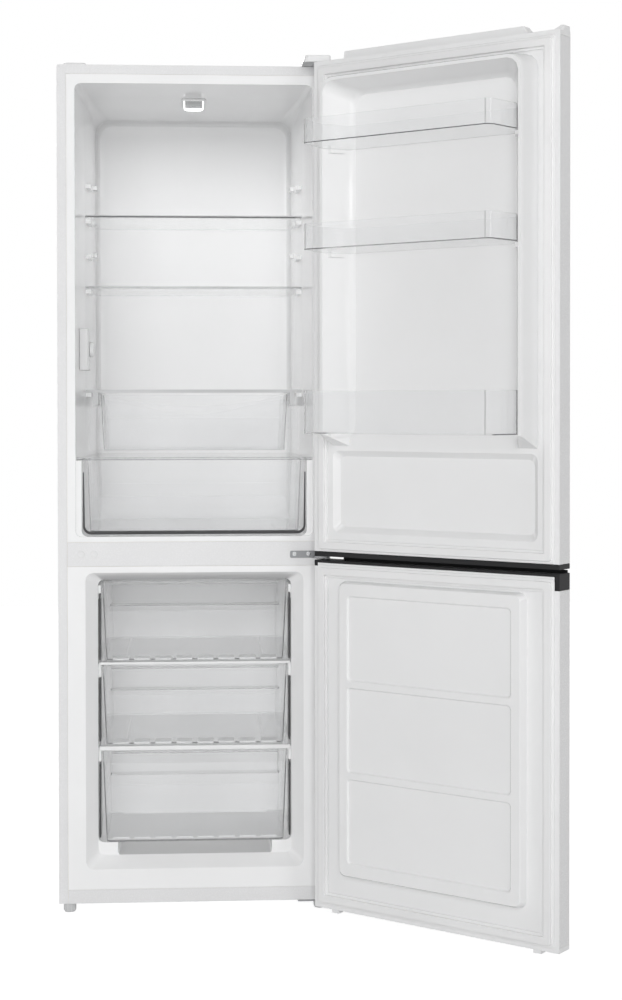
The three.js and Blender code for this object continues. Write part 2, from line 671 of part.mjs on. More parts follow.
// ---- Fridge liner ----
function fridgeCavity(grow, frontY) {
  const diagonal = BACK_FILLET * (1 - Math.SQRT1_2);
  const across = BACK_FILLET * Math.SQRT1_2;
  const upperSection = (y, half, z1, radius) => ({
    y,
    half: half + grow,
    z0: blockTop - grow,
    z1: z1 + grow,
    radii: [0.4, 0.4, radius + grow, radius + grow],
  });
  const upper = loftY([
    ...(frontY < 0 ? [upperSection(frontY, fridgeHalf, fridgeTop, FRIDGE_CORNER)] : []),
    upperSection(0, fridgeHalf, fridgeTop, FRIDGE_CORNER),
    upperSection(FLARE_DEPTH, fridgeHalfFlare, fridgeCeiling, FRIDGE_CORNER),
    upperSection(filletStart, fridgeHalfBack, fridgeCeiling, BACK_FILLET),
    upperSection(filletStart + across, fridgeHalfBack - diagonal, fridgeCeiling - diagonal, BACK_FILLET),
    upperSection(
      FRIDGE_DEPTH + grow,
      fridgeHalfBack - BACK_FILLET,
      fridgeCeiling - BACK_FILLET,
      BACK_FILLET,
    ),
  ]);
  const lowerSection = (y, half, z0, radius) => ({
    y,
    half: half + grow,
    z0: z0 - grow,
    z1: blockTop + FRIDGE_CORNER,
    radii: [radius + grow, radius + grow, 2, 2],
  });
  const blockFront = fridgeHalf - CRISPER_BLOCK_INSET;
  const lower = loftY([
    lowerSection(CRISPER_BLOCK_SETBACK - CLEAR, blockFront, fridgeBottom, FRIDGE_CORNER),
    lowerSection(filletStart, fridgeHalfBack, fridgeBottom, FRIDGE_CORNER),
    lowerSection(filletStart + across, fridgeHalfBack - diagonal, fridgeBottom + diagonal, BACK_FILLET),
    lowerSection(FRIDGE_DEPTH + grow, fridgeHalfBack - BACK_FILLET, fridgeBottom + BACK_FILLET, BACK_FILLET),
  ]);
  const mouth = prismY(
    roundedRect(
      -fridgeHalf - grow,
      fridgeHalf + grow,
      fridgeBottom - grow,
      blockTop + FRIDGE_CORNER,
      [FRIDGE_CORNER + grow, FRIDGE_CORNER + grow, 0, 0],
    ),
    frontY,
    CRISPER_BLOCK_SETBACK + grow,
  );
  return join(upper, lower, mouth);
}

// Half width between the fridge side walls at a depth behind the front flare.
function fridgeHalfAt(y) {
  const share = (y - FLARE_DEPTH) / (filletStart - FLARE_DEPTH);
  return fridgeHalfFlare - WALL_DRAFT * share;
}

// Half width between the fridge side walls at any depth.
function fridgeWallAt(y) {
  if (y > FLARE_DEPTH) return fridgeHalfAt(y);
  return fridgeHalf - (FLARE_INSET * y) / FLARE_DEPTH;
}

function wallStub(setback, length, top) {
  const y = FLARE_DEPTH + setback;
  const end = y + length;
  const reach = fridgeHalfAt(end) - STUB_REACH;
  const plan = polygon([
    [reach, y + STUB_NOSE],
    [reach + STUB_NOSE, y],
    [fridgeHalfAt(y) + LINER_WALL / 2, y],
    [fridgeHalfAt(end) + LINER_WALL / 2, end],
    [reach, end],
  ]);
  return bothSides(prismZ(plan, top - STUB_HEIGHT, top));
}

function fridgeLiner() {
  const half = flangeHalf - CLEAR;
  const flangeTop = BODY_HEIGHT - STEEL_FLANGE - CLEAR;
  const flange = box(-half, half, 0, LINER_WALL, dividerTop + CLEAR, flangeTop);
  const supportTop = chillerCoverBottom - CLEAR;
  const stubs = [
    wallStub(SUPPORT_SETBACK, SUPPORT_LENGTH, supportTop),
    wallStub(CATCH_SETBACK, CATCH_LENGTH, supportTop),
  ];
  for (const row of SHELF_ROWS) {
    const glassTop = shelfTop + row * SHELF_PITCH;
    stubs.push(wallStub(SUPPORT_SETBACK, SUPPORT_LENGTH, glassTop - GLASS - CLEAR));
    stubs.push(wallStub(CATCH_SETBACK, CATCH_LENGTH, glassTop + CATCH_LIFT + STUB_HEIGHT));
  }
  const runner = box(
    CRISPER_RUNNER_X - CRISPER_RUNNER_HALF,
    CRISPER_RUNNER_X + CRISPER_RUNNER_HALF,
    CRISPER_FRONT + CRISPER_RUNNER_SETBACK,
    CRISPER_FRONT + CRISPER_DEPTH - CRISPER_RUNNER_SETBACK,
    fridgeBottom - LINER_WALL / 2,
    fridgeBottom + CRISPER_RUNNER,
  );
  const skin = cut(join(flange, fridgeCavity(LINER_WALL, 0)), fridgeCavity(0, -1));
  return join(skin, bothSides(runner), ...stubs);
}

// ---- Freezer liner ----
function freezerCavity(grow, frontY) {
  const section = (y, half, z0, z1, radius) => ({
    y,
    half: half + grow,
    z0: z0 - grow,
    z1: z1 + grow,
    radii: radius + grow,
  });
  const flareEnd = FREEZER_FLARE_DEPTH + grow;
  const flare = loftY([
    ...(frontY < 0 ? [section(frontY, freezerHalf, freezerBottom, freezerTop, FREEZER_CORNER)] : []),
    section(0, freezerHalf, freezerBottom, freezerTop, FREEZER_CORNER),
    section(flareEnd, freezerInnerHalf, freezerFloor, freezerCeiling, FREEZER_INNER_CORNER),
  ]);
  const room = loftY([
    section(FREEZER_FLARE_DEPTH - 1, freezerInnerHalf, plinthTop, freezerCeiling, FREEZER_INNER_CORNER),
    section(
      FREEZER_DEPTH + grow,
      freezerInnerHalf - FREEZER_WALL_DRAFT,
      plinthTop,
      freezerCeiling - FREEZER_WALL_DRAFT,
      FREEZER_INNER_CORNER,
    ),
  ]);
  const well = prismY(
    roundedRect(
      -wellHalf - grow,
      wellHalf + grow,
      freezerFloor - grow,
      plinthTop + FREEZER_CORNER,
      [6 + grow, 6 + grow, 0, 0],
    ),
    FREEZER_FLARE_DEPTH - 1,
    STEP_FRONT + grow * 2,
  );
  const back = FREEZER_DEPTH + 10;
  const rise = grow * Math.tan(Math.PI / 8);
  const step = prismX(
    polygon([
      [STEP_FRONT + grow, 0],
      [back, 0],
      [back, STEP_TOP - grow],
      [STEP_FRONT + STEP_SLOPE + rise, STEP_TOP - grow],
      [STEP_FRONT + grow, STEP_TOP - STEP_SLOPE - rise],
    ]),
    -halfWidth,
    halfWidth,
  );
  return cut(join(flare, room, well), step);
}

// Ledge on each side wall: it guides the drawer beside it and carries the glass shelf above it.
function sideGuide(top) {
  const guideBack = guideFront + GUIDE_LENGTH;
  const plan = polygon([
    [drawerHalf + CLEAR, guideFront],
    [freezerHalfAt(guideFront) + LINER_WALL / 2, guideFront],
    [freezerHalfAt(guideBack) + LINER_WALL / 2, guideBack],
    [drawerHalf + CLEAR, guideBack],
  ]);
  return bothSides(prismZ(plan, top - GUIDE_HEIGHT, top));
}

// Half width between the freezer side walls at a depth behind the front flare.
function freezerHalfAt(y) {
  const share = (y - FREEZER_FLARE_DEPTH) / (FREEZER_DEPTH - FREEZER_FLARE_DEPTH);
  return freezerInnerHalf - FREEZER_WALL_DRAFT * share;
}

function freezerLiner() {
  const half = flangeHalf - CLEAR;
  const flange = box(-half, half, 0, LINER_WALL, RAIL_HEIGHT + CLEAR, dividerBottom - CLEAR);
  const skin = cut(join(flange, freezerCavity(LINER_WALL, 0)), freezerCavity(0, -1));
  const shelfLedges = [lowerShelfTop, upperShelfTop].map((top) => top - GLASS - CLEAR);
  const topGuide = freezerCeiling - FREEZER_INNER_CORNER - LINER_WALL;
  const guides = [...shelfLedges, topGuide].map(sideGuide);
  return join(skin, ...guides);
}

// ---- Foam between the shell and the liners ----
function insulationFoam() {
  const side = insideHalf;
  const front = LINER_WALL + CLEAR;
  const back = CABINET_DEPTH - BACK_DISH - CLEAR;
  const skin = LINER_WALL + CLEAR;
  const radius = SHELL_RADIUS - SHEET - CLEAR;
  const top = BODY_HEIGHT - SHEET - CLEAR;
  const outline = roundedRect(-side, side, SHEET + CLEAR, top, [0, 0, radius, radius]);
  const block = prismY(outline, front, back);
  const railNotch = box(-halfWidth, halfWidth, 0, RAIL_DEPTH + CLEAR, 0, SHEET * 2 + CLEAR);
  const bossNotch = rod([footX, FOOT_SETBACK, 0], [footX, FOOT_SETBACK, STEM_REACH * 2], bossRadius + CLEAR);
  const ribNotch = baseRib(RAIL_DEPTH, bayFront, BASE_RIB + CLEAR);
  return cut(
    block,
    fridgeCavity(skin, -1),
    freezerCavity(skin, -1),
    bayVoid(SHEET + CLEAR),
    railNotch,
    bothSides(bossNotch),
    bothSides(ribNotch),
  );
}

function dividerPanel() {
  const side = flangeHalf - CLEAR;
  const level = (dividerBottom + dividerTop) / 2;
  const plate = box(-side, side, 0, SHEET, dividerBottom, dividerTop);
  const plugs = PLUG_HOLES.map((hole) => {
    const x = hole - halfWidth;
    return rod([x, -1, level], [x, SHEET, level], PLUG_RADIUS);
  });
  return join(plate, ...plugs);
}

// ---- Machine bay ----
function compressorBase() {
  const plate = box(-insideHalf, insideHalf, bayFront + CLEAR, CABINET_DEPTH - SHEET - CLEAR, 0, SHEET * 2);
  const halfSlot = ROLLER_WIDTH / 2 + CLEAR;
  const slotReach = ROLLER_RADIUS + 3;
  const slot = box(
    ROLLER_OFFSET - halfSlot,
    ROLLER_OFFSET + halfSlot,
    rollerY - slotReach,
    rollerY + slotReach,
    -SHEET,
    SHEET * 3,
  );
  const low = rollerZ - EAR_HALF + 2;
  const tongue = roundedRect(rollerY - EAR_HALF, rollerY + EAR_HALF, low, SHEET, [6, 6, 0, 0]);
  const inner = ROLLER_OFFSET - halfSlot;
  const outer = ROLLER_OFFSET + halfSlot;
  const ears = join(
    prismX(tongue, inner - EAR_THICKNESS, inner),
    prismX(tongue, outer, outer + EAR_THICKNESS),
  );
  const axle = rod(
    [inner - EAR_THICKNESS, rollerY, rollerZ],
    [outer + EAR_THICKNESS, rollerY, rollerZ],
    AXLE_RADIUS,
  );
  const edge = bayFront + CLEAR;
  const stiffener = box(-insideHalf, insideHalf, edge, edge + SHEET * 2, 0, STIFFENER_HEIGHT);
  const pads = compressorPads().map(([x, y]) => rod([x, y, 0], [x, y, padTop], PAD_RADIUS));
  return join(cut(plate, bothSides(slot)), bothSides(join(ears, axle)), stiffener, ...pads);
}

function compressorPads() {
  const signs = [-1, 1];
  return signs.flatMap((sx) => signs.map((sy) => [COMPRESSOR_X + sx * PAD_X, compressorY + sy * PAD_Y]));
}

function roller() {
  const start = ROLLER_OFFSET - ROLLER_WIDTH / 2;
  const end = ROLLER_OFFSET + ROLLER_WIDTH / 2;
  const wheel = rod([start, rollerY, rollerZ], [end, rollerY, rollerZ], ROLLER_RADIUS, 24);
  const hole = rod([start - 1, rollerY, rollerZ], [end + 1, rollerY, rollerZ], AXLE_RADIUS + CLEAR, 24);
  return cut(wheel, hole);
}

function compressor() {
  const radius = COMPRESSOR_RADIUS;
  const bottom = compressorBottom;
  const top = compressorTop;
  const seam = bottom + COMPRESSOR_HEIGHT * 0.46; // weld bead between the shell's halves
  const profile = [
    [0, bottom],
    [radius * 0.72, bottom],
    [radius * 0.97, bottom + 22],
    [radius, seam - 9],
    [radius + 3, seam - 3],
    [radius + 3, seam + 3],
    [radius, seam + 9],
    [radius * 0.93, top - 26],
    [radius * 0.66, top - 6],
    [radius * 0.3, top],
    [0, top],
  ];
  const shell = revolve(profile, COMPRESSOR_X, compressorY, 20);
  const plateBottom = padTop + CLEAR + 6;
  const feetPlate = prismZ(
    roundedRect(
      COMPRESSOR_X - PAD_X - 12,
      COMPRESSOR_X + PAD_X + 12,
      compressorY - PAD_Y - 12,
      compressorY + PAD_Y + 12,
      12,
    ),
    plateBottom,
    bottom + 3,
  );
  const grommets = compressorPads().map(([x, y]) => (
    rod([x, y, padTop + CLEAR], [x, y, plateBottom + 1], GROMMET_RADIUS, 12)
  ));
  const relayX = COMPRESSOR_X + radius - 8;
  const relayBox = prismX(
    roundedRect(compressorY - 26, compressorY + 26, bottom + 12, bottom + 62, 8),
    relayX,
    relayX + 38,
  );
  return join(shell, feetPlate, relayBox, suctionTube(), ...grommets);
}

function dripTray() {
  const z0 = compressorTop + CLEAR;
  return tub({
    x: COMPRESSOR_X,
    half: TRAY_HALF_X,
    taper: 6,
    y0: compressorY - TRAY_HALF_Y,
    y1: compressorY + TRAY_HALF_Y,
    z0,
    z1: z0 + TRAY_HEIGHT,
    radius: 14,
  });
}

// Tube welded into the compressor's shell, up to the bay's front wall.
function suctionTube() {
  const x = COMPRESSOR_X - COMPRESSOR_RADIUS + 4;
  const z = compressorBottom + 50;
  return pipe(
    [
      [x, compressorY, z],
      [x - 26, compressorY + 4, z + 4],
      [x - 38, compressorY + 12, z + 50],
      [x - 38, compressorY - 10, z + 84],
      [x - 38, bayFront + CLEAR + TUBE_RADIUS, z + 92],
    ],
    TUBE_RADIUS,
  );
}

// Filter drier standing beside the compressor, with the tube ends that come out of it.
function filterDrier() {
  const x = COMPRESSOR_X + COMPRESSOR_RADIUS + DRIER_OFFSET;
  const bottom = SHEET * 2 + CLEAR;
  const profile = [
    [0, bottom],
    [TUBE_RADIUS, bottom],
    [TUBE_RADIUS, bottom + 60],
    [DRIER_RADIUS, bottom + 72],
    [DRIER_RADIUS, bottom + 150],
    [TUBE_RADIUS, bottom + 162],
    [TUBE_RADIUS, BAY_HEIGHT - CLEAR],
    [0, BAY_HEIGHT - CLEAR],
  ];
  return revolve(profile, x, compressorY + 20, 12);
}

// ---- Feet ----
function foot(top) {
  const lobes = new THREE.Shape();
  for (let index = 0; index < LOBE_COUNT * 2; index += 1) {
    const angle = (Math.PI * index) / LOBE_COUNT;
    const radius = index % 2 ? FOOT_RADIUS : FOOT_RADIUS - LOBE_DEPTH;
    lobes[index ? 'lineTo' : 'moveTo'](radius * Math.cos(angle), radius * Math.sin(angle));
  }
  const floor = -FOOT_HEIGHT;
  const knob = prismZ(lobes, floor + FOOT_PAD, top).translate([footX, FOOT_SETBACK, 0]);
  const padRadius = FOOT_RADIUS - LOBE_DEPTH * 1.5;
  const pad = rod([footX, FOOT_SETBACK, floor], [footX, FOOT_SETBACK, floor + FOOT_PAD + 1], padRadius, 24);
  const stem = rod([footX, FOOT_SETBACK, top - 1], [footX, FOOT_SETBACK, STEM_REACH], STEM_RADIUS);
  return join(knob, pad, stem);
}

// ---- Hinges ----
function hingeArm(x0, yBack, z0) {
  const outline = new THREE.Shape();
  outline.moveTo(x0, yBack);
  outline.lineTo(x0, pinY + ARM_HALF * 2);
  outline.lineTo(pinX - ARM_HALF, pinY);
  outline.absarc(pinX, pinY, ARM_HALF, Math.PI, Math.PI * 2);
  outline.lineTo(hingeEnd, yBack);
  return prismZ(outline, z0, z0 + HINGE_PLATE);
}

function pin(z0, z1) {
  return rod([pinX, pinY, z0], [pinX, pinY, z1], PIN_RADIUS);
}

function middleHinge() {
  const plateFront = -SHEET * 1.8 - CLEAR;
  const hingeRoot = halfWidth - HINGE_ROOT;
  const arm = hingeArm(pinX - 26, plateFront, armBottom);
  const plate = prismY(
    roundedRect(hingeRoot, hingeEnd, armBottom - 2.5, armBottom + 13, 3),
    plateFront - SHEET / 2,
    -CLEAR,
  );
  const screws = PLATE_SCREWS.map((x) => rod(
    [hingeRoot + x, plateFront - 2, armBottom + 6.4],
    [hingeRoot + x, plateFront, armBottom + 6.4],
    SCREW_RADIUS,
    12,
  ));
  const upperPin = pin(armTop - 1, armTop + PIN_REACH);
  const lowerPin = pin(armBottom - PIN_REACH, armBottom + 1);
  return join(arm, plate, upperPin, lowerPin, ...screws);
}

function topHingeBracket() {
  const z0 = hingeCoverBottom;
  const coverLeft = pinX - COVER_REACH;
  const back = COVER_BACK - 12;
  const foot = prismZ(roundedRect(coverLeft + 5, hingeEnd - 4, 2, back, 4), z0, z0 + HINGE_PLATE);
  const arm = hingeArm(pinX - 30, 10, z0);
  const screws = BRACKET_SCREWS.map((offset) => {
    const x = coverLeft + offset;
    return rod([x, back - 18, z0], [x, back - 18, z0 + 6], SCREW_RADIUS, 12);
  });
  return join(foot, arm, pin(upperDoorTop - TOP_CAP_HEIGHT, z0 + 1), ...screws);
}

function coverSection(z, inset, lean) {
  return {
    z,
    x0: pinX - COVER_REACH + inset + lean,
    x1: halfWidth - COVER_WALL - inset,
    y0: doorFront + inset,
    y1: COVER_BACK - inset - lean,
    radii: [12 - inset, 5 - inset, 8 - inset, 8 - inset],
  };
}

function topHingeCover() {
  const z0 = hingeCoverBottom;
  const z1 = z0 + COVER_HEIGHT;
  const outside = loftZ([coverSection(z0, 0, 0), coverSection(z1 - 2, 0, 4), coverSection(z1, 1.5, 4)]);
  const inside = loftZ([coverSection(z0 - 1, COVER_WALL, 0), coverSection(z1 - COVER_WALL, COVER_WALL, 4)]);
  return cut(outside, inside);
}

function topPlug() {
  const x0 = -halfWidth + TOP_PLUG_INSET;
  const y0 = TOP_PLUG_HEIGHT;
  const z0 = BODY_HEIGHT + CLEAR;
  const section = (z, inset) => ({
    z,
    x0: x0 + inset,
    x1: x0 + TOP_PLUG_WIDTH - inset,
    y0: y0 + inset,
    y1: y0 + TOP_PLUG_LENGTH - inset,
    radii: 5 - inset / 2,
  });
  return loftZ([section(z0, 0), section(z0 + TOP_PLUG_HEIGHT * 0.65, 0), section(z0 + TOP_PLUG_HEIGHT, 2)]);
}

function bottomHinge() {
  const plate = prismZ(roundedRect(pinX - 62, hingeEnd, -2, 38, [4, 0, 4, 4]), bottomHingeZ, -CLEAR);
  const arm = hingeArm(pinX - 25, 0, bottomHingeZ);
  const hole = rod([footX, FOOT_SETBACK, -20], [footX, FOOT_SETBACK, 20], stemHole);
  return join(cut(join(plate, arm), hole), pin(bottomHingeZ + 1, LOWER_DOOR_BOTTOM + PIN_REACH - 3));
}

// ---- Open-topped containers ----
function tub({ x, half, taper, y0, y1, z0, z1, radius }) {
  const section = (z, inset, draft) => ({
    z,
    x0: x - half + inset + draft,
    x1: x + half - inset - draft,
    y0: y0 + inset + draft / 2,
    y1: y1 - inset - draft,
    radii: Math.max(radius - inset, 1),
  });
  const outside = loftZ([section(z0, 0, taper), section(z1, 0, 0)]);
  const inside = loftZ([section(z0 + TRAY_WALL, TRAY_WALL, taper), section(z1 + 1, TRAY_WALL, 0)]);
  return cut(outside, inside);
}

function chillerDrawer() {
  const y0 = FLARE_DEPTH;
  const bin = tub({
    x: 0,
    half: chillerHalf - PANEL_WALL,
    taper: 7,
    y0: y0 + PANEL_WALL / 2,
    y1: y0 + CHILLER_DEPTH,
    z0: chillerBottom,
    z1: chillerTop,
    radius: 10,
  });
  const front = prismY(
    roundedRect(-chillerHalf, chillerHalf, chillerBottom, chillerTop, [8, 8, 2, 2]),
    y0,
    y0 + PANEL_WALL,
  );
  const wallAtRunner = chillerHalf - PANEL_WALL - TRAY_WALL;
  const runner = box(
    wallAtRunner,
    hangerWeb - CLEAR * 2,
    y0 + PANEL_WALL * 2,
    y0 + CHILLER_DEPTH - HANGER_REACH,
    hangerLipTop + CLEAR,
    hangerLipTop + CLEAR + RUNNER_WALL,
  );
  const scoopRadius = (chillerHalf ** 2 + CHILLER_SCOOP ** 2) / (2 * CHILLER_SCOOP);
  const scoopZ = chillerTop - CHILLER_SCOOP + scoopRadius;
  const scoop = rod([0, y0 - 5, scoopZ], [0, y0 + 20, scoopZ], scoopRadius, 180);
  return cut(join(bin, front, bothSides(runner)), scoop);
}

// Outline of a glass plate between the tapering side walls, from its front to its back edge.
function plateOutline(y0, y1, gap) {
  const stations = y0 < FLARE_DEPTH ? [y0, FLARE_DEPTH, y1] : [y0, y1];
  const right = stations.map((y) => [fridgeWallAt(y) - gap, y]);
  const left = stations.map((y) => [gap - fridgeWallAt(y), y]).reverse();
  return polygon([...right, ...left]);
}

// Edge trim with a slot that holds the glass; side is +1 for a front and -1 for a rear edge.
function edgeTrim(half, edgeY, side, depth, glassTop, top, bottom) {
  const slot = edgeY + side * TRIM_SLOT_START;
  const end = edgeY + side * depth;
  const outline = [
    [edgeY, bottom],
    [end, bottom],
    [end, glassTop - GLASS - CLEAR],
    [slot, glassTop - GLASS - CLEAR],
    [slot, glassTop + CLEAR],
    [end, glassTop + CLEAR],
    [end, top],
    [edgeY, top],
  ];
  return prismX(polygon(side > 0 ? outline : outline.reverse()), -half, half);
}

function shelfPieces(top) {
  const y0 = FLARE_DEPTH;
  const y1 = FLARE_DEPTH + SHELF_DEPTH;
  const inset = TRIM_SLOT_START + CLEAR;
  const rearHalf = fridgeHalfAt(y1) - SHELF_SIDE_GAP;
  const endClear = box(
    rearHalf - TRIM_END,
    rearHalf + 1,
    y1 - REAR_TRIM_DEPTH - 1,
    y1 + 1,
    top - SHELF_PITCH,
    top - GLASS,
  );
  const glass = prismZ(plateOutline(y0 + inset, y1 - inset, SHELF_SIDE_GAP + CLEAR), top - GLASS, top);
  const frontHalf = fridgeHalfAt(y0 + FRONT_TRIM_DEPTH) - SHELF_SIDE_GAP;
  const upperEdge = top + TRIM_LIP;
  const front = edgeTrim(frontHalf, y0, 1, FRONT_TRIM_DEPTH, top, upperEdge, upperEdge - FRONT_TRIM_HEIGHT);
  const wholeRear = edgeTrim(rearHalf, y1, -1, REAR_TRIM_DEPTH, top, upperEdge, top - GLASS - TRIM_LIP);
  return { glass, front, rear: cut(wholeRear, bothSides(endClear)) };
}

function chillerCover() {
  const y0 = FLARE_DEPTH;
  const y1 = y0 + SHELF_DEPTH - 10;
  const top = chillerCoverBottom + COVER_THICKNESS;
  const glassTop = top - TRIM_LIP;
  const inset = TRIM_SLOT_START + CLEAR;
  const glass = prismZ(plateOutline(y0 + inset, y1, SHELF_SIDE_GAP + CLEAR), glassTop - GLASS, glassTop);
  const frontHalf = fridgeHalfAt(y0 + FRONT_TRIM_DEPTH) - SHELF_SIDE_GAP;
  const railTop = glassTop - GLASS - CLEAR;
  const strip = edgeTrim(frontHalf, y0, 1, FRONT_TRIM_DEPTH, glassTop, top, railTop - HANGER_RAIL);
  const rail = prismZ(
    polygon([
      [chillerHalf + 1, y0 + 1],
      [fridgeHalfAt(y0 + FRONT_TRIM_DEPTH) - SHELF_SIDE_GAP, y0 + 1],
      [fridgeHalfAt(y1) - SHELF_SIDE_GAP, y1],
      [chillerHalf + 1, y1],
    ]),
    railTop - HANGER_RAIL,
    railTop,
  );
  const webFront = y0 + TRIM_SLOT_START + HANGER_WALL;
  const webOutside = hangerWeb + HANGER_WALL;
  const lipInside = chillerHalf + HANGER_WALL;
  const webTop = railTop - HANGER_RAIL / 2;
  const cheekBottom = hangerLipTop + RUNNER_WALL + CLEAR * 2;
  const web = box(hangerWeb, webOutside, webFront, y1, hangerBottom, webTop);
  const lip = box(lipInside, hangerWeb + 1, webFront, y1, hangerBottom, hangerLipTop);
  const cheek = box(lipInside, webOutside, webFront - HANGER_WALL, webFront + 1, cheekBottom, webTop);
  return { glass, frame: join(strip, bothSides(join(rail, web, lip, cheek))) };
}

function crisperCover() {
  const y0 = COVER_STRIP_DEPTH;
  const y1 = CRISPER_FRONT + CRISPER_DEPTH;
  const top = crisperCoverBottom + COVER_THICKNESS;
  const glassTop = top - TRIM_LIP;
  const inset = TRIM_SLOT_START + CLEAR;
  const glass = prismZ(plateOutline(y0 + inset, y1, 1.5), glassTop - GLASS, glassTop);
  const half = fridgeWallAt(y0 + COVER_STRIP_DEPTH) - 0.6;
  const strip = edgeTrim(half, y0, 1, COVER_STRIP_DEPTH, glassTop, top, crisperCoverBottom);
  return { glass, strip };
}

function crisperDrawer() {
  const blockHalf = fridgeHalf - CRISPER_BLOCK_INSET;
  const half = blockHalf - CRISPER_SIDE_GAP;
  const backHalfWidth = fridgeHalfAt(CRISPER_FRONT + CRISPER_DEPTH) - CRISPER_SIDE_GAP;
  const front = prismY(
    roundedRect(-half, half, crisperBottom, crisperTop, [FRIDGE_CORNER, FRIDGE_CORNER, 2, 2]),
    CRISPER_FRONT,
    CRISPER_FRONT + PANEL_WALL,
  );
  const bin = tub({
    x: 0,
    half: backHalfWidth,
    taper: 6,
    y0: CRISPER_FRONT + PANEL_WALL / 2,
    y1: CRISPER_FRONT + CRISPER_DEPTH,
    z0: crisperBottom,
    z1: crisperTop,
    radius: FRIDGE_CORNER,
  });
  const ledgeHalf = half - FRIDGE_CORNER;
  const ledgeBottom = crisperTop - CRISPER_LEDGE_DROP;
  const ledgeFront = CRISPER_FRONT - CRISPER_LEDGE_REACH;
  const ledgeTop = ledgeBottom + CRISPER_LEDGE;
  const ledge = box(-ledgeHalf, ledgeHalf, ledgeFront, CRISPER_FRONT + 1, ledgeBottom, ledgeTop);
  return join(front, bin, ledge);
}

function freezerDrawer({ z, height }, depth) {
  const y0 = drawerFront;
  const top = z + height;
  const front = prismY(
    roundedRect(-drawerHalf, drawerHalf, z, top, [6, 6, 3, 3]),
    y0,
    y0 + PANEL_WALL,
  );
  const bin = tub({
    x: 0,
    half: drawerHalf - 3,
    taper: 8,
    y0: y0 + PANEL_WALL / 2,
    y1: y0 + depth,
    z0: z,
    z1: top,
    radius: 10,
  });
  const gripTop = top - GRIP_RIM;
  const gripBottom = gripTop - GRIP_HEIGHT;
  const pocket = prismX(
    polygon([
      [y0 + 1, gripBottom - TRAY_WALL],
      [y0 + GRIP_DEPTH - 6, gripBottom - TRAY_WALL + 4],
      [y0 + GRIP_DEPTH + TRAY_WALL, gripTop],
      [y0 + GRIP_DEPTH + TRAY_WALL, gripTop + TRAY_WALL],
      [y0 + 1, gripTop + TRAY_WALL],
    ]),
    -gripHalf - TRAY_WALL,
    gripHalf + TRAY_WALL,
  );
  const space = prismX(
    polygon([
      [y0 - 2, gripBottom],
      [y0 + GRIP_DEPTH - 8, gripBottom + 4],
      [y0 + GRIP_DEPTH, gripTop],
      [y0 - 2, gripTop],
    ]),
    -gripHalf,
    gripHalf,
  );
  return cut(join(front, bin, pocket), space);
}

// Skids that keep a drawer's floor above the glass shelf.
function drawerSkids({ z }, depth) {
  const y0 = drawerFront + GRIP_HEIGHT;
  const y1 = y0 + depth - GRIP_HEIGHT * 2;
  return bothSides(box(SKID_X, SKID_X + SKID_WIDTH, y0, y1, z - DRAWER_SKID, z + 1));
}

function freezerShelf(shelfTop, trimHeight) {
  const half = freezerInnerHalf - SHELF_SIDE_GAP;
  const y0 = drawerFront + 2;
  const inset = TRIM_SLOT_START + CLEAR;
  const glass = box(-half, half, y0 + inset, y0 + FREEZER_SHELF_DEPTH, shelfTop - GLASS, shelfTop);
  const outline = [
    [y0, shelfTop - trimHeight],
    [y0 + FREEZER_TRIM_DEPTH - 2, shelfTop - trimHeight],
    [y0 + FREEZER_TRIM_DEPTH - 2, shelfTop - GLASS - CLEAR],
    [y0 + TRIM_SLOT_START, shelfTop - GLASS - CLEAR],
    [y0 + TRIM_SLOT_START, shelfTop + CLEAR],
    [y0, shelfTop + CLEAR],
  ];
  return { glass, trim: prismX(polygon(outline), -half, half) };
}

// ---- Lamp and thermostat ----
const lampFront = FLARE_DEPTH + LAMP_SETBACK;
const thermostatFace = THERMOSTAT_REACH - fridgeWallAt(THERMOSTAT_FRONT + THERMOSTAT_LENGTH);

function lampHousing() {
  const top = fridgeCeiling - CLEAR;
  const outline = roundedRect(-LAMP_HALF, LAMP_HALF, lampFront, lampFront + LAMP_LENGTH, 6);
  return prismZ(outline, top - LAMP_PLATE, top);
}

function lampLens() {
  const top = fridgeCeiling - CLEAR * 2 - LAMP_PLATE;
  const section = (z, draw) => {
    const inset = LENS_MARGIN + draw;
    return {
      z,
      x0: -LAMP_HALF + inset,
      x1: LAMP_HALF - inset,
      y0: lampFront + inset,
      y1: lampFront + LAMP_LENGTH - inset,
      radii: 6,
    };
  };
  return loftZ([section(top - LENS_HEIGHT, 5), section(top - LENS_HEIGHT * 0.7, 1), section(top, 0)]);
}

function thermostatHousing() {
  const y0 = THERMOSTAT_FRONT;
  const y1 = y0 + THERMOSTAT_LENGTH;
  const plan = polygon([
    [CLEAR - fridgeWallAt(y0), y0],
    [thermostatFace - THERMOSTAT_CHAMFER, y0],
    [thermostatFace, y0 + THERMOSTAT_CHAMFER],
    [thermostatFace, y1 - THERMOSTAT_CHAMFER],
    [thermostatFace - THERMOSTAT_CHAMFER, y1],
    [CLEAR - fridgeWallAt(y1), y1],
  ]);
  const block = prismZ(plan, thermostatBottom, thermostatBottom + THERMOSTAT_HEIGHT);
  const boreRadius = SPINDLE_RADIUS + CLEAR;
  const bore = rod([thermostatFace - 6, dialY, dialZ], [thermostatFace + 1, dialY, dialZ], boreRadius);
  return cut(block, bore);
}

function thermostatDial() {
  const x0 = thermostatFace + CLEAR;
  const x1 = x0 + DIAL_DEPTH;
  const barHalf = DIAL_RADIUS - 3;
  const knob = rod([x0, dialY, dialZ], [x1, dialY, dialZ], DIAL_RADIUS, 24);
  const bar = box(x1 - 1, x1 + DIAL_BAR, dialY - 3, dialY + 3, dialZ - barHalf, dialZ + barHalf);
  const spindle = rod([thermostatFace - 5, dialY, dialZ], [x0 + 1, dialY, dialZ], SPINDLE_RADIUS);
  return join(knob, bar, spindle);
}

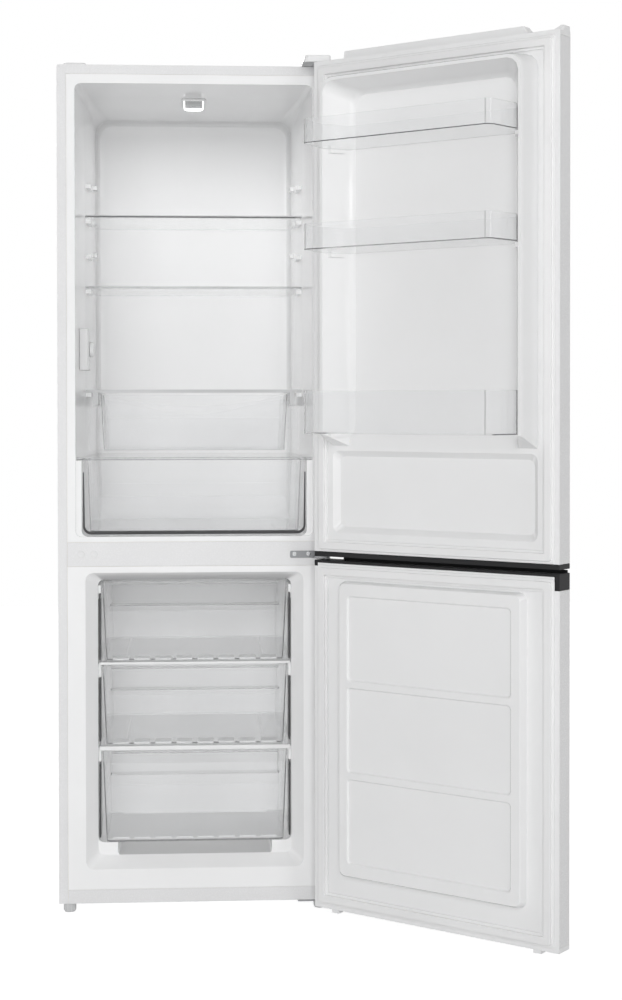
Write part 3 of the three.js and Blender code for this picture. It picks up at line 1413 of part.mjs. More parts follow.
// ---- Doors, drawn closed ----
function doorSkin(z0, z1) {
  const radius = DOOR_EDGE_RADIUS;
  const back = linerBack - CLEAR;
  const outside = roundedRect(-doorHalf, doorHalf, doorFront, back, [radius, radius, 0, 0]);
  const inside = roundedRect(
    -skinInside,
    skinInside,
    doorFront + SHEET,
    back - SHEET,
    [radius - SHEET, radius - SHEET, 0, 0],
  );
  const mouth = doorHalf - RETURN_LIP;
  return cut(
    prismZ(outside, z0, z1),
    prismZ(inside, z0 - 1, z1 + 1),
    box(-mouth, mouth, back - SHEET * 2, back + 1, z0 - 1, z1 + 1),
  );
}

function doorGasket(z0, z1) {
  const ring = (inset, width, y0, y1) => {
    const half = doorHalf - inset;
    const outer = prismY(roundedRect(-half, half, z0 + inset, z1 - inset, 6), y0, y1, 2);
    const inner = roundedRect(-half + width, half - width, z0 + inset + width, z1 - inset - width, 3);
    return cut(outer, prismY(inner, y0 - 1, y1 + 1, 2));
  };
  const baseY = doorBack + CLEAR;
  const magnetInset = GASKET_INSET + (GASKET_WIDTH - GASKET_MAGNET_WIDTH) / 2;
  return join(
    ring(GASKET_INSET, GASKET_WIDTH, baseY, baseY + GASKET_BASE),
    ring(magnetInset, GASKET_MAGNET_WIDTH, baseY + GASKET_BASE / 2, -CLEAR),
  );
}

function pinHole(z0, z1) {
  return rod([pinX, pinY, z0], [pinX, pinY, z1], PIN_RADIUS + CLEAR);
}

function doorPlan(backY) {
  const radius = DOOR_EDGE_RADIUS;
  return roundedRect(-doorHalf, doorHalf, doorFront, backY, [radius, radius, 0, 0]);
}

function upperTopCap() {
  const z0 = upperDoorTop - TOP_CAP_HEIGHT;
  const base = prismZ(doorPlan(linerBack - CLEAR), z0, upperDoorTop);
  const ridgeTop = upperDoorTop + TOP_RIDGE_HEIGHT;
  const ridgeBack = doorBack - TOP_RIDGE_INSET;
  const ridge = loftZ([
    {
      z: upperDoorTop - 1,
      x0: doorHalf - TOP_RIDGE_TO,
      x1: doorHalf - TOP_RIDGE_FROM,
      y0: doorFront,
      y1: ridgeBack,
      radii: 3,
    },
    {
      z: ridgeTop,
      x0: doorHalf - TOP_RIDGE_TO,
      x1: doorHalf - TOP_RIDGE_FROM,
      y0: doorFront + 2,
      y1: ridgeBack - 2,
      radii: 3,
    },
  ]);
  const corner = box(-doorHalf, -doorHalf + 7, doorFront + 6, ridgeBack, upperDoorTop - 1, ridgeTop);
  return cut(join(base, ridge, corner), pinHole(z0 - 1, upperDoorTop + 1));
}

function upperBottomCap() {
  const z1 = upperDoorBottom + BOTTOM_CAP_HEIGHT;
  const cap = prismZ(doorPlan(doorBack), upperDoorBottom, z1);
  return cut(cap, pinHole(upperDoorBottom - 1, z1 + 1));
}

// ---- Upper door's moulded inner liner ----
function dyke(inset, startY) {
  const section = (reach, draw) => ({
    y: reach,
    half: dykeHalf - draw - inset,
    z0: dykeBottom + inset + (DYKE_END_SLOPE * Math.max(reach - doorBack, 0)) / DYKE_HEIGHT,
    z1: dykeTop - draw - inset,
    radii: [2, 2, 28, 28],
  });
  return loftY([
    section(startY, 0),
    section(doorBack + DYKE_HEIGHT - 8, 4),
    section(doorBack + DYKE_HEIGHT - inset, 7),
  ]);
}

function recess(grow) {
  const section = (y, draw) => ({
    y,
    half: recessHalf - draw + grow,
    z0: dykeBottom - 40,
    z1: recessTop - draw / 2 + grow,
    radii: [0.5, 0.5, 26, 26],
  });
  return loftY([section(doorBack, RECESS_SLOPE), section(doorBack + DYKE_HEIGHT + 2, -1)]);
}

function recessFloor(grow) {
  const section = (y, draw, z0) => ({
    y,
    half: recessHalf - RECESS_SLOPE - draw + grow,
    z0,
    z1: recessTop - RECESS_SLOPE / 2 - draw + grow,
    radii: [20, 20, 26, 26],
  });
  const deep = doorBack - RECESS_DEPTH - grow;
  return loftY([
    section(deep, RECESS_DEPTH, dykeBottom + DYKE_END_SLOPE - grow),
    section(doorBack, 0, dykeBottom - grow),
    section(doorBack + 1, 0, dykeBottom - grow),
  ]);
}

function field(grow) {
  const section = (y, draw) => ({
    y,
    half: dykeHalf - draw + grow,
    z0: fridgeBottom + FIELD_BOTTOM + draw - grow,
    z1: fridgeBottom + FIELD_TOP - draw + grow,
    radii: 14,
  });
  return loftY([
    section(doorBack - FIELD_DEPTH - grow, FIELD_DEPTH),
    section(doorBack, 0),
    section(doorBack + 1, 0),
  ]);
}

function balconyLedge(bottom) {
  const slope = RECESS_SLOPE / DYKE_HEIGHT;
  const wallAt = (reach) => recessHalf - RECESS_SLOPE + slope * reach + LINER_WALL / 2;
  const plan = polygon([
    [wallAt(LEDGE_FRONT) - LEDGE_REACH, doorBack + LEDGE_FRONT],
    [wallAt(LEDGE_FRONT), doorBack + LEDGE_FRONT],
    [wallAt(LEDGE_BACK), doorBack + LEDGE_BACK],
    [wallAt(LEDGE_BACK) - LEDGE_REACH, doorBack + LEDGE_BACK],
  ]);
  return bothSides(prismZ(plan, bottom - CLEAR - LEDGE_REACH, bottom - CLEAR));
}

function upperLiner() {
  const plate = box(-doorHalf, doorHalf, linerBack, doorBack, skinBottom, upperDoorTop);
  const hollow = cut(dyke(LINER_WALL, linerBack - 1), recess(LINER_WALL), recessFloor(LINER_WALL));
  const floor = pocketOnly(recessFloor(LINER_WALL));
  const panel = pocketOnly(field(LINER_WALL));
  const body = join(plate, dyke(0, doorBack - 1), floor, panel);
  const skin = cut(body, recess(0), recessFloor(0), field(0), hollow);
  return join(skin, ...BALCONIES.map((balcony) => balconyLedge(balcony.bottom)));
}

// The part of a moulded pocket that lies outside the door's inner face.
function pocketOnly(solid) {
  return solid.subtract(box(-doorHalf, doorHalf, doorBack, doorBack + 200, 0, BODY_HEIGHT));
}

function foamSlab(z0, z1) {
  const side = skinInside - CLEAR;
  const front = doorFront + SHEET + CLEAR;
  const back = linerBack - SHEET - CLEAR * 2;
  const radius = DOOR_EDGE_RADIUS - SHEET - CLEAR;
  return prismZ(roundedRect(-side, side, front, back, [radius, radius, 0, 0]), z0, z1);
}

function upperFoam() {
  const skin = LINER_WALL + CLEAR;
  const slab = foamSlab(skinBottom, skinTop);
  const filling = cut(dyke(skin, linerBack - 4), recess(skin));
  return cut(join(slab, filling), recessFloor(skin), field(skin));
}

// ---- Lower door ----
function gripCap() {
  const block = prismZ(doorPlan(doorBack), lowerCapBottom, lowerDoorTop);
  const linerRoom = box(
    -doorHalf + GRIP_CAP_END,
    doorHalf - 7,
    linerBack - CLEAR,
    doorBack + 1,
    lowerCapBottom - 1,
    lowerLinerTop + CLEAR,
  );
  const hingeSide = box(
    doorHalf - CAP_NOTCH_WIDTH,
    doorHalf + 1,
    linerBack - CLEAR,
    doorBack + 1,
    lowerCapBottom - 1,
    lowerDoorTop - CAP_NOTCH_TOP,
  );
  const scoop = rod(
    [-doorHalf + GRIP_CAP_END, doorFront - 4, lowerDoorTop + 3],
    [doorHalf - PIN_INSET * 5, doorFront - 4, lowerDoorTop + 3],
    GRIP_SCOOP_RADIUS,
    32,
  );
  return cut(block, linerRoom, hingeSide, scoop, pinHole(lowerCapBottom + 12, lowerDoorTop + 1));
}

function lowerBottomCap() {
  const plate = prismZ(doorPlan(linerBack - CLEAR), LOWER_DOOR_BOTTOM, lowerBaseTop);
  const tabX = doorHalf - STOP_TAB_INSET;
  const tab = box(
    tabX - STOP_TAB_WIDTH,
    tabX,
    doorBack - STOP_TAB_WIDTH - 4,
    doorBack - 4,
    LOWER_DOOR_BOTTOM - STOP_TAB_HEIGHT,
    LOWER_DOOR_BOTTOM + 1,
  );
  return cut(join(plate, bothSides(tab)), pinHole(-5, lowerBaseTop + 1));
}

function platform(inset, startY) {
  const section = (y, draw) => ({
    y,
    half: platformHalf - draw - inset,
    z0: platformBottom + draw + inset,
    z1: platformTop - draw - inset,
    radii: 14,
  });
  return loftY([
    section(startY, 0),
    section(doorBack + PLATFORM_HEIGHT - 5, 2),
    section(doorBack + PLATFORM_HEIGHT - inset, 5),
  ]);
}

function doorPanels(grow) {
  const face = doorBack + PLATFORM_HEIGHT;
  const panelStack = PANEL_COUNT * PANEL_HEIGHT + (PANEL_COUNT - 1) * PANEL_GAP;
  const first = (platformBottom + platformTop - panelStack) / 2;
  const half = platformHalf - PANEL_SIDE;
  const panels = [];
  for (let index = 0; index < PANEL_COUNT; index += 1) {
    const z0 = first + index * (PANEL_HEIGHT + PANEL_GAP);
    const section = (y, draw) => ({
      y,
      half: half - draw + grow,
      z0: z0 + draw - grow,
      z1: z0 + PANEL_HEIGHT - draw + grow,
      radii: 8,
    });
    panels.push(loftY([section(face - PANEL_DEPTH - grow, 3), section(face, 0), section(face + 1, 0)]));
  }
  return join(...panels);
}

function lowerLiner() {
  const corner = (x0, x1, z0) => box(x0, x1, linerBack - 1, doorBack + 1, z0, lowerDoorTop);
  const plate = cut(
    box(-doorHalf, doorHalf, linerBack, doorBack, LOWER_DOOR_BOTTOM, lowerLinerTop),
    corner(-doorHalf - 1, -doorHalf + GRIP_CAP_END + CLEAR, lowerCapBottom - CLEAR),
    corner(doorHalf - CAP_NOTCH_WIDTH - CLEAR, doorHalf + 1, lowerDoorTop - CAP_NOTCH_TOP - CLEAR),
  );
  const hollow = cut(platform(LINER_WALL, linerBack - 1), doorPanels(LINER_WALL));
  return cut(join(plate, platform(0, doorBack - 1)), doorPanels(0), hollow);
}

function lowerFoam() {
  const skin = LINER_WALL + CLEAR;
  const slab = foamSlab(lowerBaseTop + CLEAR, lowerCapBottom - CLEAR);
  return join(slab, cut(platform(skin, linerBack - 4), doorPanels(skin)));
}

// ---- Balconies ----
function balconyPlan(inset) {
  const slope = RECESS_SLOPE / DYKE_HEIGHT;
  const back = doorBack + BALCONY_BACK + inset;
  const crest = doorBack + DYKE_HEIGHT;
  const front = doorBack + BALCONY_REACH - inset;
  const backHalfWidth = recessHalf - RECESS_SLOPE + slope * BALCONY_BACK - BALCONY_GAP - inset;
  const crestHalf = recessHalf - BALCONY_GAP - inset;
  const frontHalf = BALCONY_FRONT_HALF - inset;
  const radius = BALCONY_CORNER - inset;
  const shape = new THREE.Shape();
  shape.moveTo(-backHalfWidth, back);
  shape.lineTo(backHalfWidth, back);
  shape.lineTo(crestHalf, crest);
  shape.lineTo(frontHalf, front - radius);
  shape.absarc(frontHalf - radius, front - radius, radius, 0, Math.PI / 2);
  shape.lineTo(radius - frontHalf, front);
  shape.absarc(radius - frontHalf, front - radius, radius, Math.PI / 2, Math.PI);
  shape.lineTo(-crestHalf, crest);
  return shape;
}

function balcony({ bottom, height }) {
  const outside = prismZ(balconyPlan(0), bottom, bottom + height, 4);
  const inside = prismZ(balconyPlan(BALCONY_WALL), bottom + BALCONY_WALL, bottom + height + 1, 4);
  return cut(outside, inside);
}

// ---- Assembly ----
const fridge = new THREE.Group();

function add(parent, name, solid, finish) {
  parent.add(meshOf(name, solid, finish));
}

add(fridge, 'outer_shell', outerShell(), whiteSteel);
add(fridge, 'back_panel', backPanel(), whiteSteel);
add(fridge, 'front_base_rail', frontRail(), whiteSteel);
add(fridge, 'base_panel', basePanel(), galvanised);
add(fridge, 'bay_bulkhead', bayBulkhead(), galvanised);
add(fridge, 'insulation_foam', insulationFoam(), foamYellow);
add(fridge, 'fridge_liner', fridgeLiner(), whitePlastic);
add(fridge, 'freezer_liner', freezerLiner(), whitePlastic);
add(fridge, 'divider_panel', dividerPanel(), whiteSteel);
add(fridge, 'compressor_base', compressorBase(), galvanised);
add(fridge, 'compressor', compressor(), darkSteel);
add(fridge, 'drip_tray', dripTray(), blackPlastic);
add(fridge, 'filter_drier', filterDrier(), copper);
add(fridge, 'roller_right', roller(), footGrey);
add(fridge, 'roller_left', roller().mirror([1, 0, 0]), footGrey);
add(fridge, 'foot_left', foot(-CLEAR).mirror([1, 0, 0]), footGrey);
add(fridge, 'foot_right', foot(bottomHingeZ - CLEAR), footGrey);
add(fridge, 'middle_hinge', middleHinge(), hingeSteel);
add(fridge, 'bottom_hinge', bottomHinge(), hingeSteel);
add(fridge, 'top_hinge_bracket', topHingeBracket(), hingeSteel);
add(fridge, 'top_hinge_cover', topHingeCover(), whitePlastic);
add(fridge, 'top_plug', topPlug(), whitePlastic);
add(fridge, 'lamp_housing', lampHousing(), whitePlastic);
add(fridge, 'lamp_lens', lampLens(), clearPlastic);
add(fridge, 'thermostat_housing', thermostatHousing(), whitePlastic);
add(fridge, 'thermostat_dial', thermostatDial(), whitePlastic);

for (const [name, top] of [['upper_shelf', shelfTop], ['lower_shelf', lowerShelfLevel]]) {
  const pieces = shelfPieces(top);
  add(fridge, `${name}_glass`, pieces.glass, clearGlass);
  add(fridge, `${name}_front_trim`, pieces.front, clearPlastic);
  add(fridge, `${name}_rear_trim`, pieces.rear, clearPlastic);
}

const chillerLid = chillerCover();
add(fridge, 'chiller_cover_glass', chillerLid.glass, clearGlass);
add(fridge, 'chiller_cover_frame', chillerLid.frame, clearPlastic);
add(fridge, 'chiller_drawer', chillerDrawer(), clearPlastic);
const crisperLid = crisperCover();
add(fridge, 'crisper_cover_glass', crisperLid.glass, clearGlass);
add(fridge, 'crisper_cover_strip', crisperLid.strip, clearPlastic);
add(fridge, 'crisper_drawer', crisperDrawer(), clearPlastic);

const lowerFreezerShelf = freezerShelf(lowerShelfTop, LOWER_TRIM_HEIGHT);
add(fridge, 'freezer_lower_shelf_glass', lowerFreezerShelf.glass, clearGlass);
add(fridge, 'freezer_lower_shelf_trim', lowerFreezerShelf.trim, whitePlastic);
const upperFreezerShelf = freezerShelf(upperShelfTop, UPPER_TRIM_HEIGHT);
add(fridge, 'freezer_upper_shelf_glass', upperFreezerShelf.glass, clearGlass);
add(fridge, 'freezer_upper_shelf_trim', upperFreezerShelf.trim, whitePlastic);
for (const [name, drawer] of [['freezer_drawer_top', topDrawer], ['freezer_drawer_middle', middleDrawer]]) {
  const skids = drawerSkids(drawer, FREEZER_DRAWER_DEPTH);
  add(fridge, name, join(freezerDrawer(drawer, FREEZER_DRAWER_DEPTH), skids), clearPlastic);
}
add(fridge, 'freezer_drawer_bottom', freezerDrawer(bottomDrawer, BOTTOM_DRAWER_DEPTH), clearPlastic);

// A door's pieces are drawn closed and hang from a pivot on the pin.
function doorPivot() {
  const pivot = new THREE.Group();
  pivot.position.set(pinX, pinY, 0);
  pivot.rotation.z = THREE.MathUtils.degToRad(OPEN_ANGLE);
  fridge.add(pivot);
  const leaf = new THREE.Group();
  leaf.position.set(-pinX, -pinY, 0);
  pivot.add(leaf);
  return leaf;
}

const upperDoor = doorPivot();
add(upperDoor, 'upper_door_skin', doorSkin(skinBottom, skinTop), whiteSteel);
add(upperDoor, 'upper_door_top_cap', upperTopCap(), whitePlastic);
add(upperDoor, 'upper_door_bottom_cap', upperBottomCap(), blackPlastic);
add(upperDoor, 'upper_door_liner', upperLiner(), whitePlastic);
add(upperDoor, 'upper_door_foam', upperFoam(), foamYellow);
const upperGasketBottom = skinBottom - GASKET_INSET + CLEAR * 2;
add(upperDoor, 'upper_door_gasket', doorGasket(upperGasketBottom, upperDoorTop), softWhite);
for (const shape of BALCONIES) {
  add(upperDoor, shape.name, balcony(shape), clearPlastic);
}

const lowerDoor = doorPivot();
add(lowerDoor, 'lower_door_skin', doorSkin(lowerBaseTop + CLEAR, lowerCapBottom - CLEAR), whiteSteel);
add(lowerDoor, 'lower_door_grip_cap', gripCap(), blackPlastic);
add(lowerDoor, 'lower_door_bottom_cap', lowerBottomCap(), whitePlastic);
add(lowerDoor, 'lower_door_liner', lowerLiner(), whitePlastic);
add(lowerDoor, 'lower_door_foam', lowerFoam(), foamYellow);
add(lowerDoor, 'lower_door_gasket', doorGasket(LOWER_DOOR_BOTTOM, lowerDoorTop), softWhite);

// The origin is the middle of the footprint at floor level, with the doors as they stand.
fridge.updateMatrixWorld(true);
const bounds = new THREE.Box3().setFromObject(fridge, true);
fridge.position.set(-(bounds.min.x + bounds.max.x) / 2, -(bounds.min.y + bounds.max.y) / 2, -bounds.min.z);

export default fridge;
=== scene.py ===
"""Looks of a white bottom freezer refrigerator with both doors standing open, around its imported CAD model."""

import json
import math

import bmesh
import bpy
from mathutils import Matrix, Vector


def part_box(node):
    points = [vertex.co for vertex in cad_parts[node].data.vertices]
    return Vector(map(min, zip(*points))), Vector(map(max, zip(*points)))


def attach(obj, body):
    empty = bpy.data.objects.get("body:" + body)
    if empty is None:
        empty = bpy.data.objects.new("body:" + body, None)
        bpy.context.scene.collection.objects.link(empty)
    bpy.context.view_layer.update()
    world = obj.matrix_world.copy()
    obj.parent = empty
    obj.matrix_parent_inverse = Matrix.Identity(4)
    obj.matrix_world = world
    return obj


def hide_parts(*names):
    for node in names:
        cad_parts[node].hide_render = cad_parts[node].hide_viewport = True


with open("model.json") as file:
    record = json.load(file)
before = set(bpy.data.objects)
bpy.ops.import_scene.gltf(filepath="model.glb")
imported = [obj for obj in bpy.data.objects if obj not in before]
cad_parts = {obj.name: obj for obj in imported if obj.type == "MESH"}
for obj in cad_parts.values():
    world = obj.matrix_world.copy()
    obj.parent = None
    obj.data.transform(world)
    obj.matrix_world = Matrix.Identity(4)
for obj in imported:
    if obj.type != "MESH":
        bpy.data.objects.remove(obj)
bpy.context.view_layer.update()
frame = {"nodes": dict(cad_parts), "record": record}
NODES = frame["nodes"]
RECORD = frame["record"]
SCENE = bpy.context.scene
SLOTS = {part["node"]: part["material_slot"] for part in RECORD["subparts"]}
BODIES = {node: body for body, nodes in RECORD["behaviour"]["bodies"].items() for node in nodes}

# ---- Camera, at the photograph's viewing angle ----
CAMERA_AT = (-0.23162, -4.02209, 1.1115)
CAMERA_TURN = (math.radians(89.093), math.radians(0.063), math.radians(-3.477))
CAMERA_LENS = 65.35
CAMERA_SHIFT = (0.0098, -0.067)

# ---- Light, as the level at which a surface that faces the lamp is lit ----
WORLD_LIGHT = 0.215
FRONT_LEVEL = 0.33
LOW_LEVEL = 0.1
LEFT_LEVEL = 0.09
RIGHT_LEVEL = 0.13
REAR_LEVEL = 0.45
FRIDGE_LAMP_LEVEL = 0.34
LAMP_AIM = (0.0, 0.0, 0.95)
FLOOR_GLOW = 0.88
FLOOR_HALF = 6.0

# ---- Rounded edges of each finish, in metres ----
EDGES = {
    "white_steel": 0.0004,
    "galvanised_steel": 0.0004,
    "white_plastic": 0.001,
    "compressor_paint": 0.001,
    "black_plastic": 0.0008,
    "copper": 0.0003,
    "grey_plastic": 0.0006,
    "hinge_steel": 0.0006,
    "clear_plastic": 0.0005,
    "glass": 0.0006,
    "gasket_rubber": 0.0012,
}
SMOOTH_UNDER = math.radians(38)
FLAT_UNDER = math.radians(0.4)
WELD = 1e-5
SPLIT_FIRST = ("upper_door_top_cap",)  # its long thin faces round better as triangles


def make_camera():
    data = bpy.data.cameras.new("camera")
    data.sensor_width = 36
    data.lens = CAMERA_LENS
    data.shift_x, data.shift_y = CAMERA_SHIFT
    data.clip_end = 40
    camera = bpy.data.objects.new("camera", data)
    camera.location = CAMERA_AT
    camera.rotation_euler = CAMERA_TURN
    SCENE.collection.objects.link(camera)
    SCENE.camera = camera


def softbox(name, at, size, level, mirrored=True, target=LAMP_AIM):
    """A rectangular lamp that lights what faces it at the target to the level given."""
    data = bpy.data.lights.new(name, "AREA")
    data.shape = "RECTANGLE"
    data.size, data.size_y = size
    direction = Vector(target) - Vector(at)
    data.energy = level * math.pi**2 * direction.length_squared
    lamp = bpy.data.objects.new(name, data)
    lamp.location = at
    lamp.rotation_euler = direction.to_track_quat("-Z", "Y").to_euler()
    lamp.visible_glossy = mirrored
    lamp.visible_transmission = False
    SCENE.collection.objects.link(lamp)
    return lamp


def node(tree, kind, inputs=None, **settings):
    """A shader node with its settings, and with values or links on its inputs."""
    made = tree.nodes.new(kind)
    for name, value in settings.items():
        setattr(made, name, value)
    for name, value in (inputs or {}).items():
        if isinstance(value, bpy.types.NodeSocket):
            tree.links.new(value, made.inputs[name])
        else:
            made.inputs[name].default_value = value
    return made


def largest(tree, *sockets):
    total = sockets[0]
    for socket in sockets[1:]:
        total = node(tree, "ShaderNodeMath", {0: total, 1: socket}, operation="MAXIMUM").outputs[0]
    return total


def seen_directly(tree):
    """1 for rays of sight, straight or by mirror or glass, and 0 for rays of light."""
    path = node(tree, "ShaderNodeLightPath").outputs
    return largest(tree, path["Is Camera Ray"], path["Is Glossy Ray"], path["Is Transmission Ray"])


def make_world():
    world = bpy.data.worlds.new("studio")
    SCENE.world = world
    world.use_nodes = True
    tree = world.node_tree
    tree.nodes.clear()
    white = (1, 1, 1, 1)
    light = node(tree, "ShaderNodeBackground", {"Color": white, "Strength": WORLD_LIGHT})
    sight = node(tree, "ShaderNodeBackground", {"Color": white, "Strength": 1})
    mix = node(tree, "ShaderNodeMixShader", {0: seen_directly(tree), 1: light.outputs[0], 2: sight.outputs[0]})
    node(tree, "ShaderNodeOutputWorld", {"Surface": mix.outputs[0]})


def make_floor():
    mesh = bpy.data.meshes.new("floor")
    h = FLOOR_HALF
    mesh.from_pydata([(-h, -h, 0), (h, -h, 0), (h, h, 0), (-h, h, 0)], [], [(0, 1, 2, 3)])
    floor = bpy.data.objects.new("floor", mesh)
    floor.location.z = -0.0005
    SCENE.collection.objects.link(floor)
    material = bpy.data.materials.new("floor")
    material.use_nodes = True
    tree = material.node_tree
    tree.nodes.clear()
    pale = (0.85, 0.85, 0.85, 1)
    lit = node(tree, "ShaderNodeBsdfDiffuse", {"Color": pale}).outputs[0]
    glow = node(tree, "ShaderNodeEmission", {"Strength": FLOOR_GLOW}).outputs[0]
    dimmed = node(tree, "ShaderNodeMixShader", {0: 0.55, 1: lit}).outputs[0]
    both = node(tree, "ShaderNodeAddShader", {0: dimmed, 1: glow}).outputs[0]
    mix = node(tree, "ShaderNodeMixShader", {0: seen_directly(tree), 1: lit, 2: both}).outputs[0]
    node(tree, "ShaderNodeOutputMaterial", {"Surface": mix})
    mesh.materials.append(material)


make_camera()
make_world()
make_floor()
softbox("front_softbox", (-0.9, -8.2, 3.5), (4.5, 4.0), FRONT_LEVEL, mirrored=False)
softbox("low_softbox", (-0.4, -5.2, 0.7), (1.6, 0.9), LOW_LEVEL, False, (-0.22, 0.2, 0.5))
softbox("left_softbox", (-4.2, -4.6, 2.6), (1.6, 2.4), LEFT_LEVEL)
softbox("right_softbox", (3.6, -4.6, 2.4), (1.6, 2.4), RIGHT_LEVEL)
softbox("rear_softbox", (-2.5, 6.0, 3.2), (3.0, 3.0), REAR_LEVEL)
LENS_LOW, LENS_HIGH = (Vector(corner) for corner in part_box("lamp_lens"))
under_lens = Vector(((LENS_LOW.x + LENS_HIGH.x) / 2, LENS_HIGH.y - 0.035, LENS_LOW.z - 0.004))
fridge_lamp = softbox(
    "fridge_lamp", under_lens, (0.04, 0.05), FRIDGE_LAMP_LEVEL, False, under_lens - Vector((0, 0, 0.3))
)
fridge_lamp.visible_camera = False

SCENE.view_settings.view_transform = "Standard"


# ---- Materials ----
def new_tree(name):
    material = bpy.data.materials.new(name)
    material.use_nodes = True
    material.node_tree.nodes.clear()
    return material, material.node_tree


def grain(tree, scale, detail=2.0, stretch=(1, 1, 1)):
    """Noise from 0 to 1 that stays with the piece as it moves."""
    where = node(tree, "ShaderNodeTexCoord").outputs["Object"]
    placed = node(tree, "ShaderNodeMapping", {"Vector": where, "Scale": stretch}).outputs[0]
    noise = node(tree, "ShaderNodeTexNoise", {"Vector": placed, "Scale": scale, "Detail": detail})
    return noise.outputs["Fac"]


def shades(tree, fac, dark, light):
    ramp = node(tree, "ShaderNodeValToRGB", {"Fac": fac})
    ramp.color_ramp.elements[0].position = 0.3
    ramp.color_ramp.elements[0].color = (*dark, 1)
    ramp.color_ramp.elements[1].position = 0.7
    ramp.color_ramp.elements[1].color = (*light, 1)
    return ramp.outputs[0]


def between(tree, fac, low, high):
    scaled = node(tree, "ShaderNodeMapRange", {"Value": fac, "From Min": 0.3, "From Max": 0.7})
    scaled.inputs["To Min"].default_value = low
    scaled.inputs["To Max"].default_value = high
    return scaled.outputs[0]


def opaque(name, dark, light, rough, skin, relief=0.0, stretch=(1, 1, 1), **sockets):
    """A paint, plastic, foam or metal: two shades, two roughnesses and a fine skin of that scale."""
    material, tree = new_tree(name)
    cloud = grain(tree, 3.5, 3.0)
    fine = grain(tree, skin, 2.0, stretch)
    inputs = {
        "Base Color": shades(tree, cloud, dark, light),
        "Roughness": between(tree, fine, *rough),
    }
    if relief:
        bump = node(tree, "ShaderNodeBump", {"Height": fine, "Strength": relief, "Distance": 0.0004})
        inputs["Normal"] = bump.outputs[0]
    for socket, value in sockets.items():
        inputs[socket.replace("_", " ")] = value
    surface = node(tree, "ShaderNodeBsdfPrincipled", inputs)
    node(tree, "ShaderNodeOutputMaterial", {"Surface": surface.outputs[0]})
    return material


def clear(name, dark, light, rough, ior, haze):
    """Glass or clear plastic that bends what is seen through it and lets the lamps' light through."""
    material, tree = new_tree(name)
    tint = shades(tree, grain(tree, 6.0), dark, light)
    roughness = between(tree, grain(tree, 40.0), *rough)
    inputs = {"Base Color": tint, "Roughness": roughness, "IOR": ior, "Transmission Weight": 1 - haze}
    solid = node(tree, "ShaderNodeBsdfPrincipled", inputs)
    passed = node(tree, "ShaderNodeBsdfTransparent", {"Color": tint})
    path = node(tree, "ShaderNodeLightPath").outputs
    light_ray = largest(tree, path["Is Shadow Ray"], path["Is Diffuse Ray"])
    mix = node(tree, "ShaderNodeMixShader", {0: light_ray, 1: solid.outputs[0], 2: passed.outputs[0]})
    node(tree, "ShaderNodeOutputMaterial", {"Surface": mix.outputs[0]})
    return material


def glowing(name, color, strength):
    material, tree = new_tree(name)
    fac = grain(tree, 60.0)
    inputs = {
        "Base Color": shades(tree, fac, color, color),
        "Roughness": between(tree, fac, 0.2, 0.3),
        "Emission Color": (1, 1, 1, 1),
        "Emission Strength": strength,
    }
    surface = node(tree, "ShaderNodeBsdfPrincipled", inputs)
    node(tree, "ShaderNodeOutputMaterial", {"Surface": surface.outputs[0]})
    return material


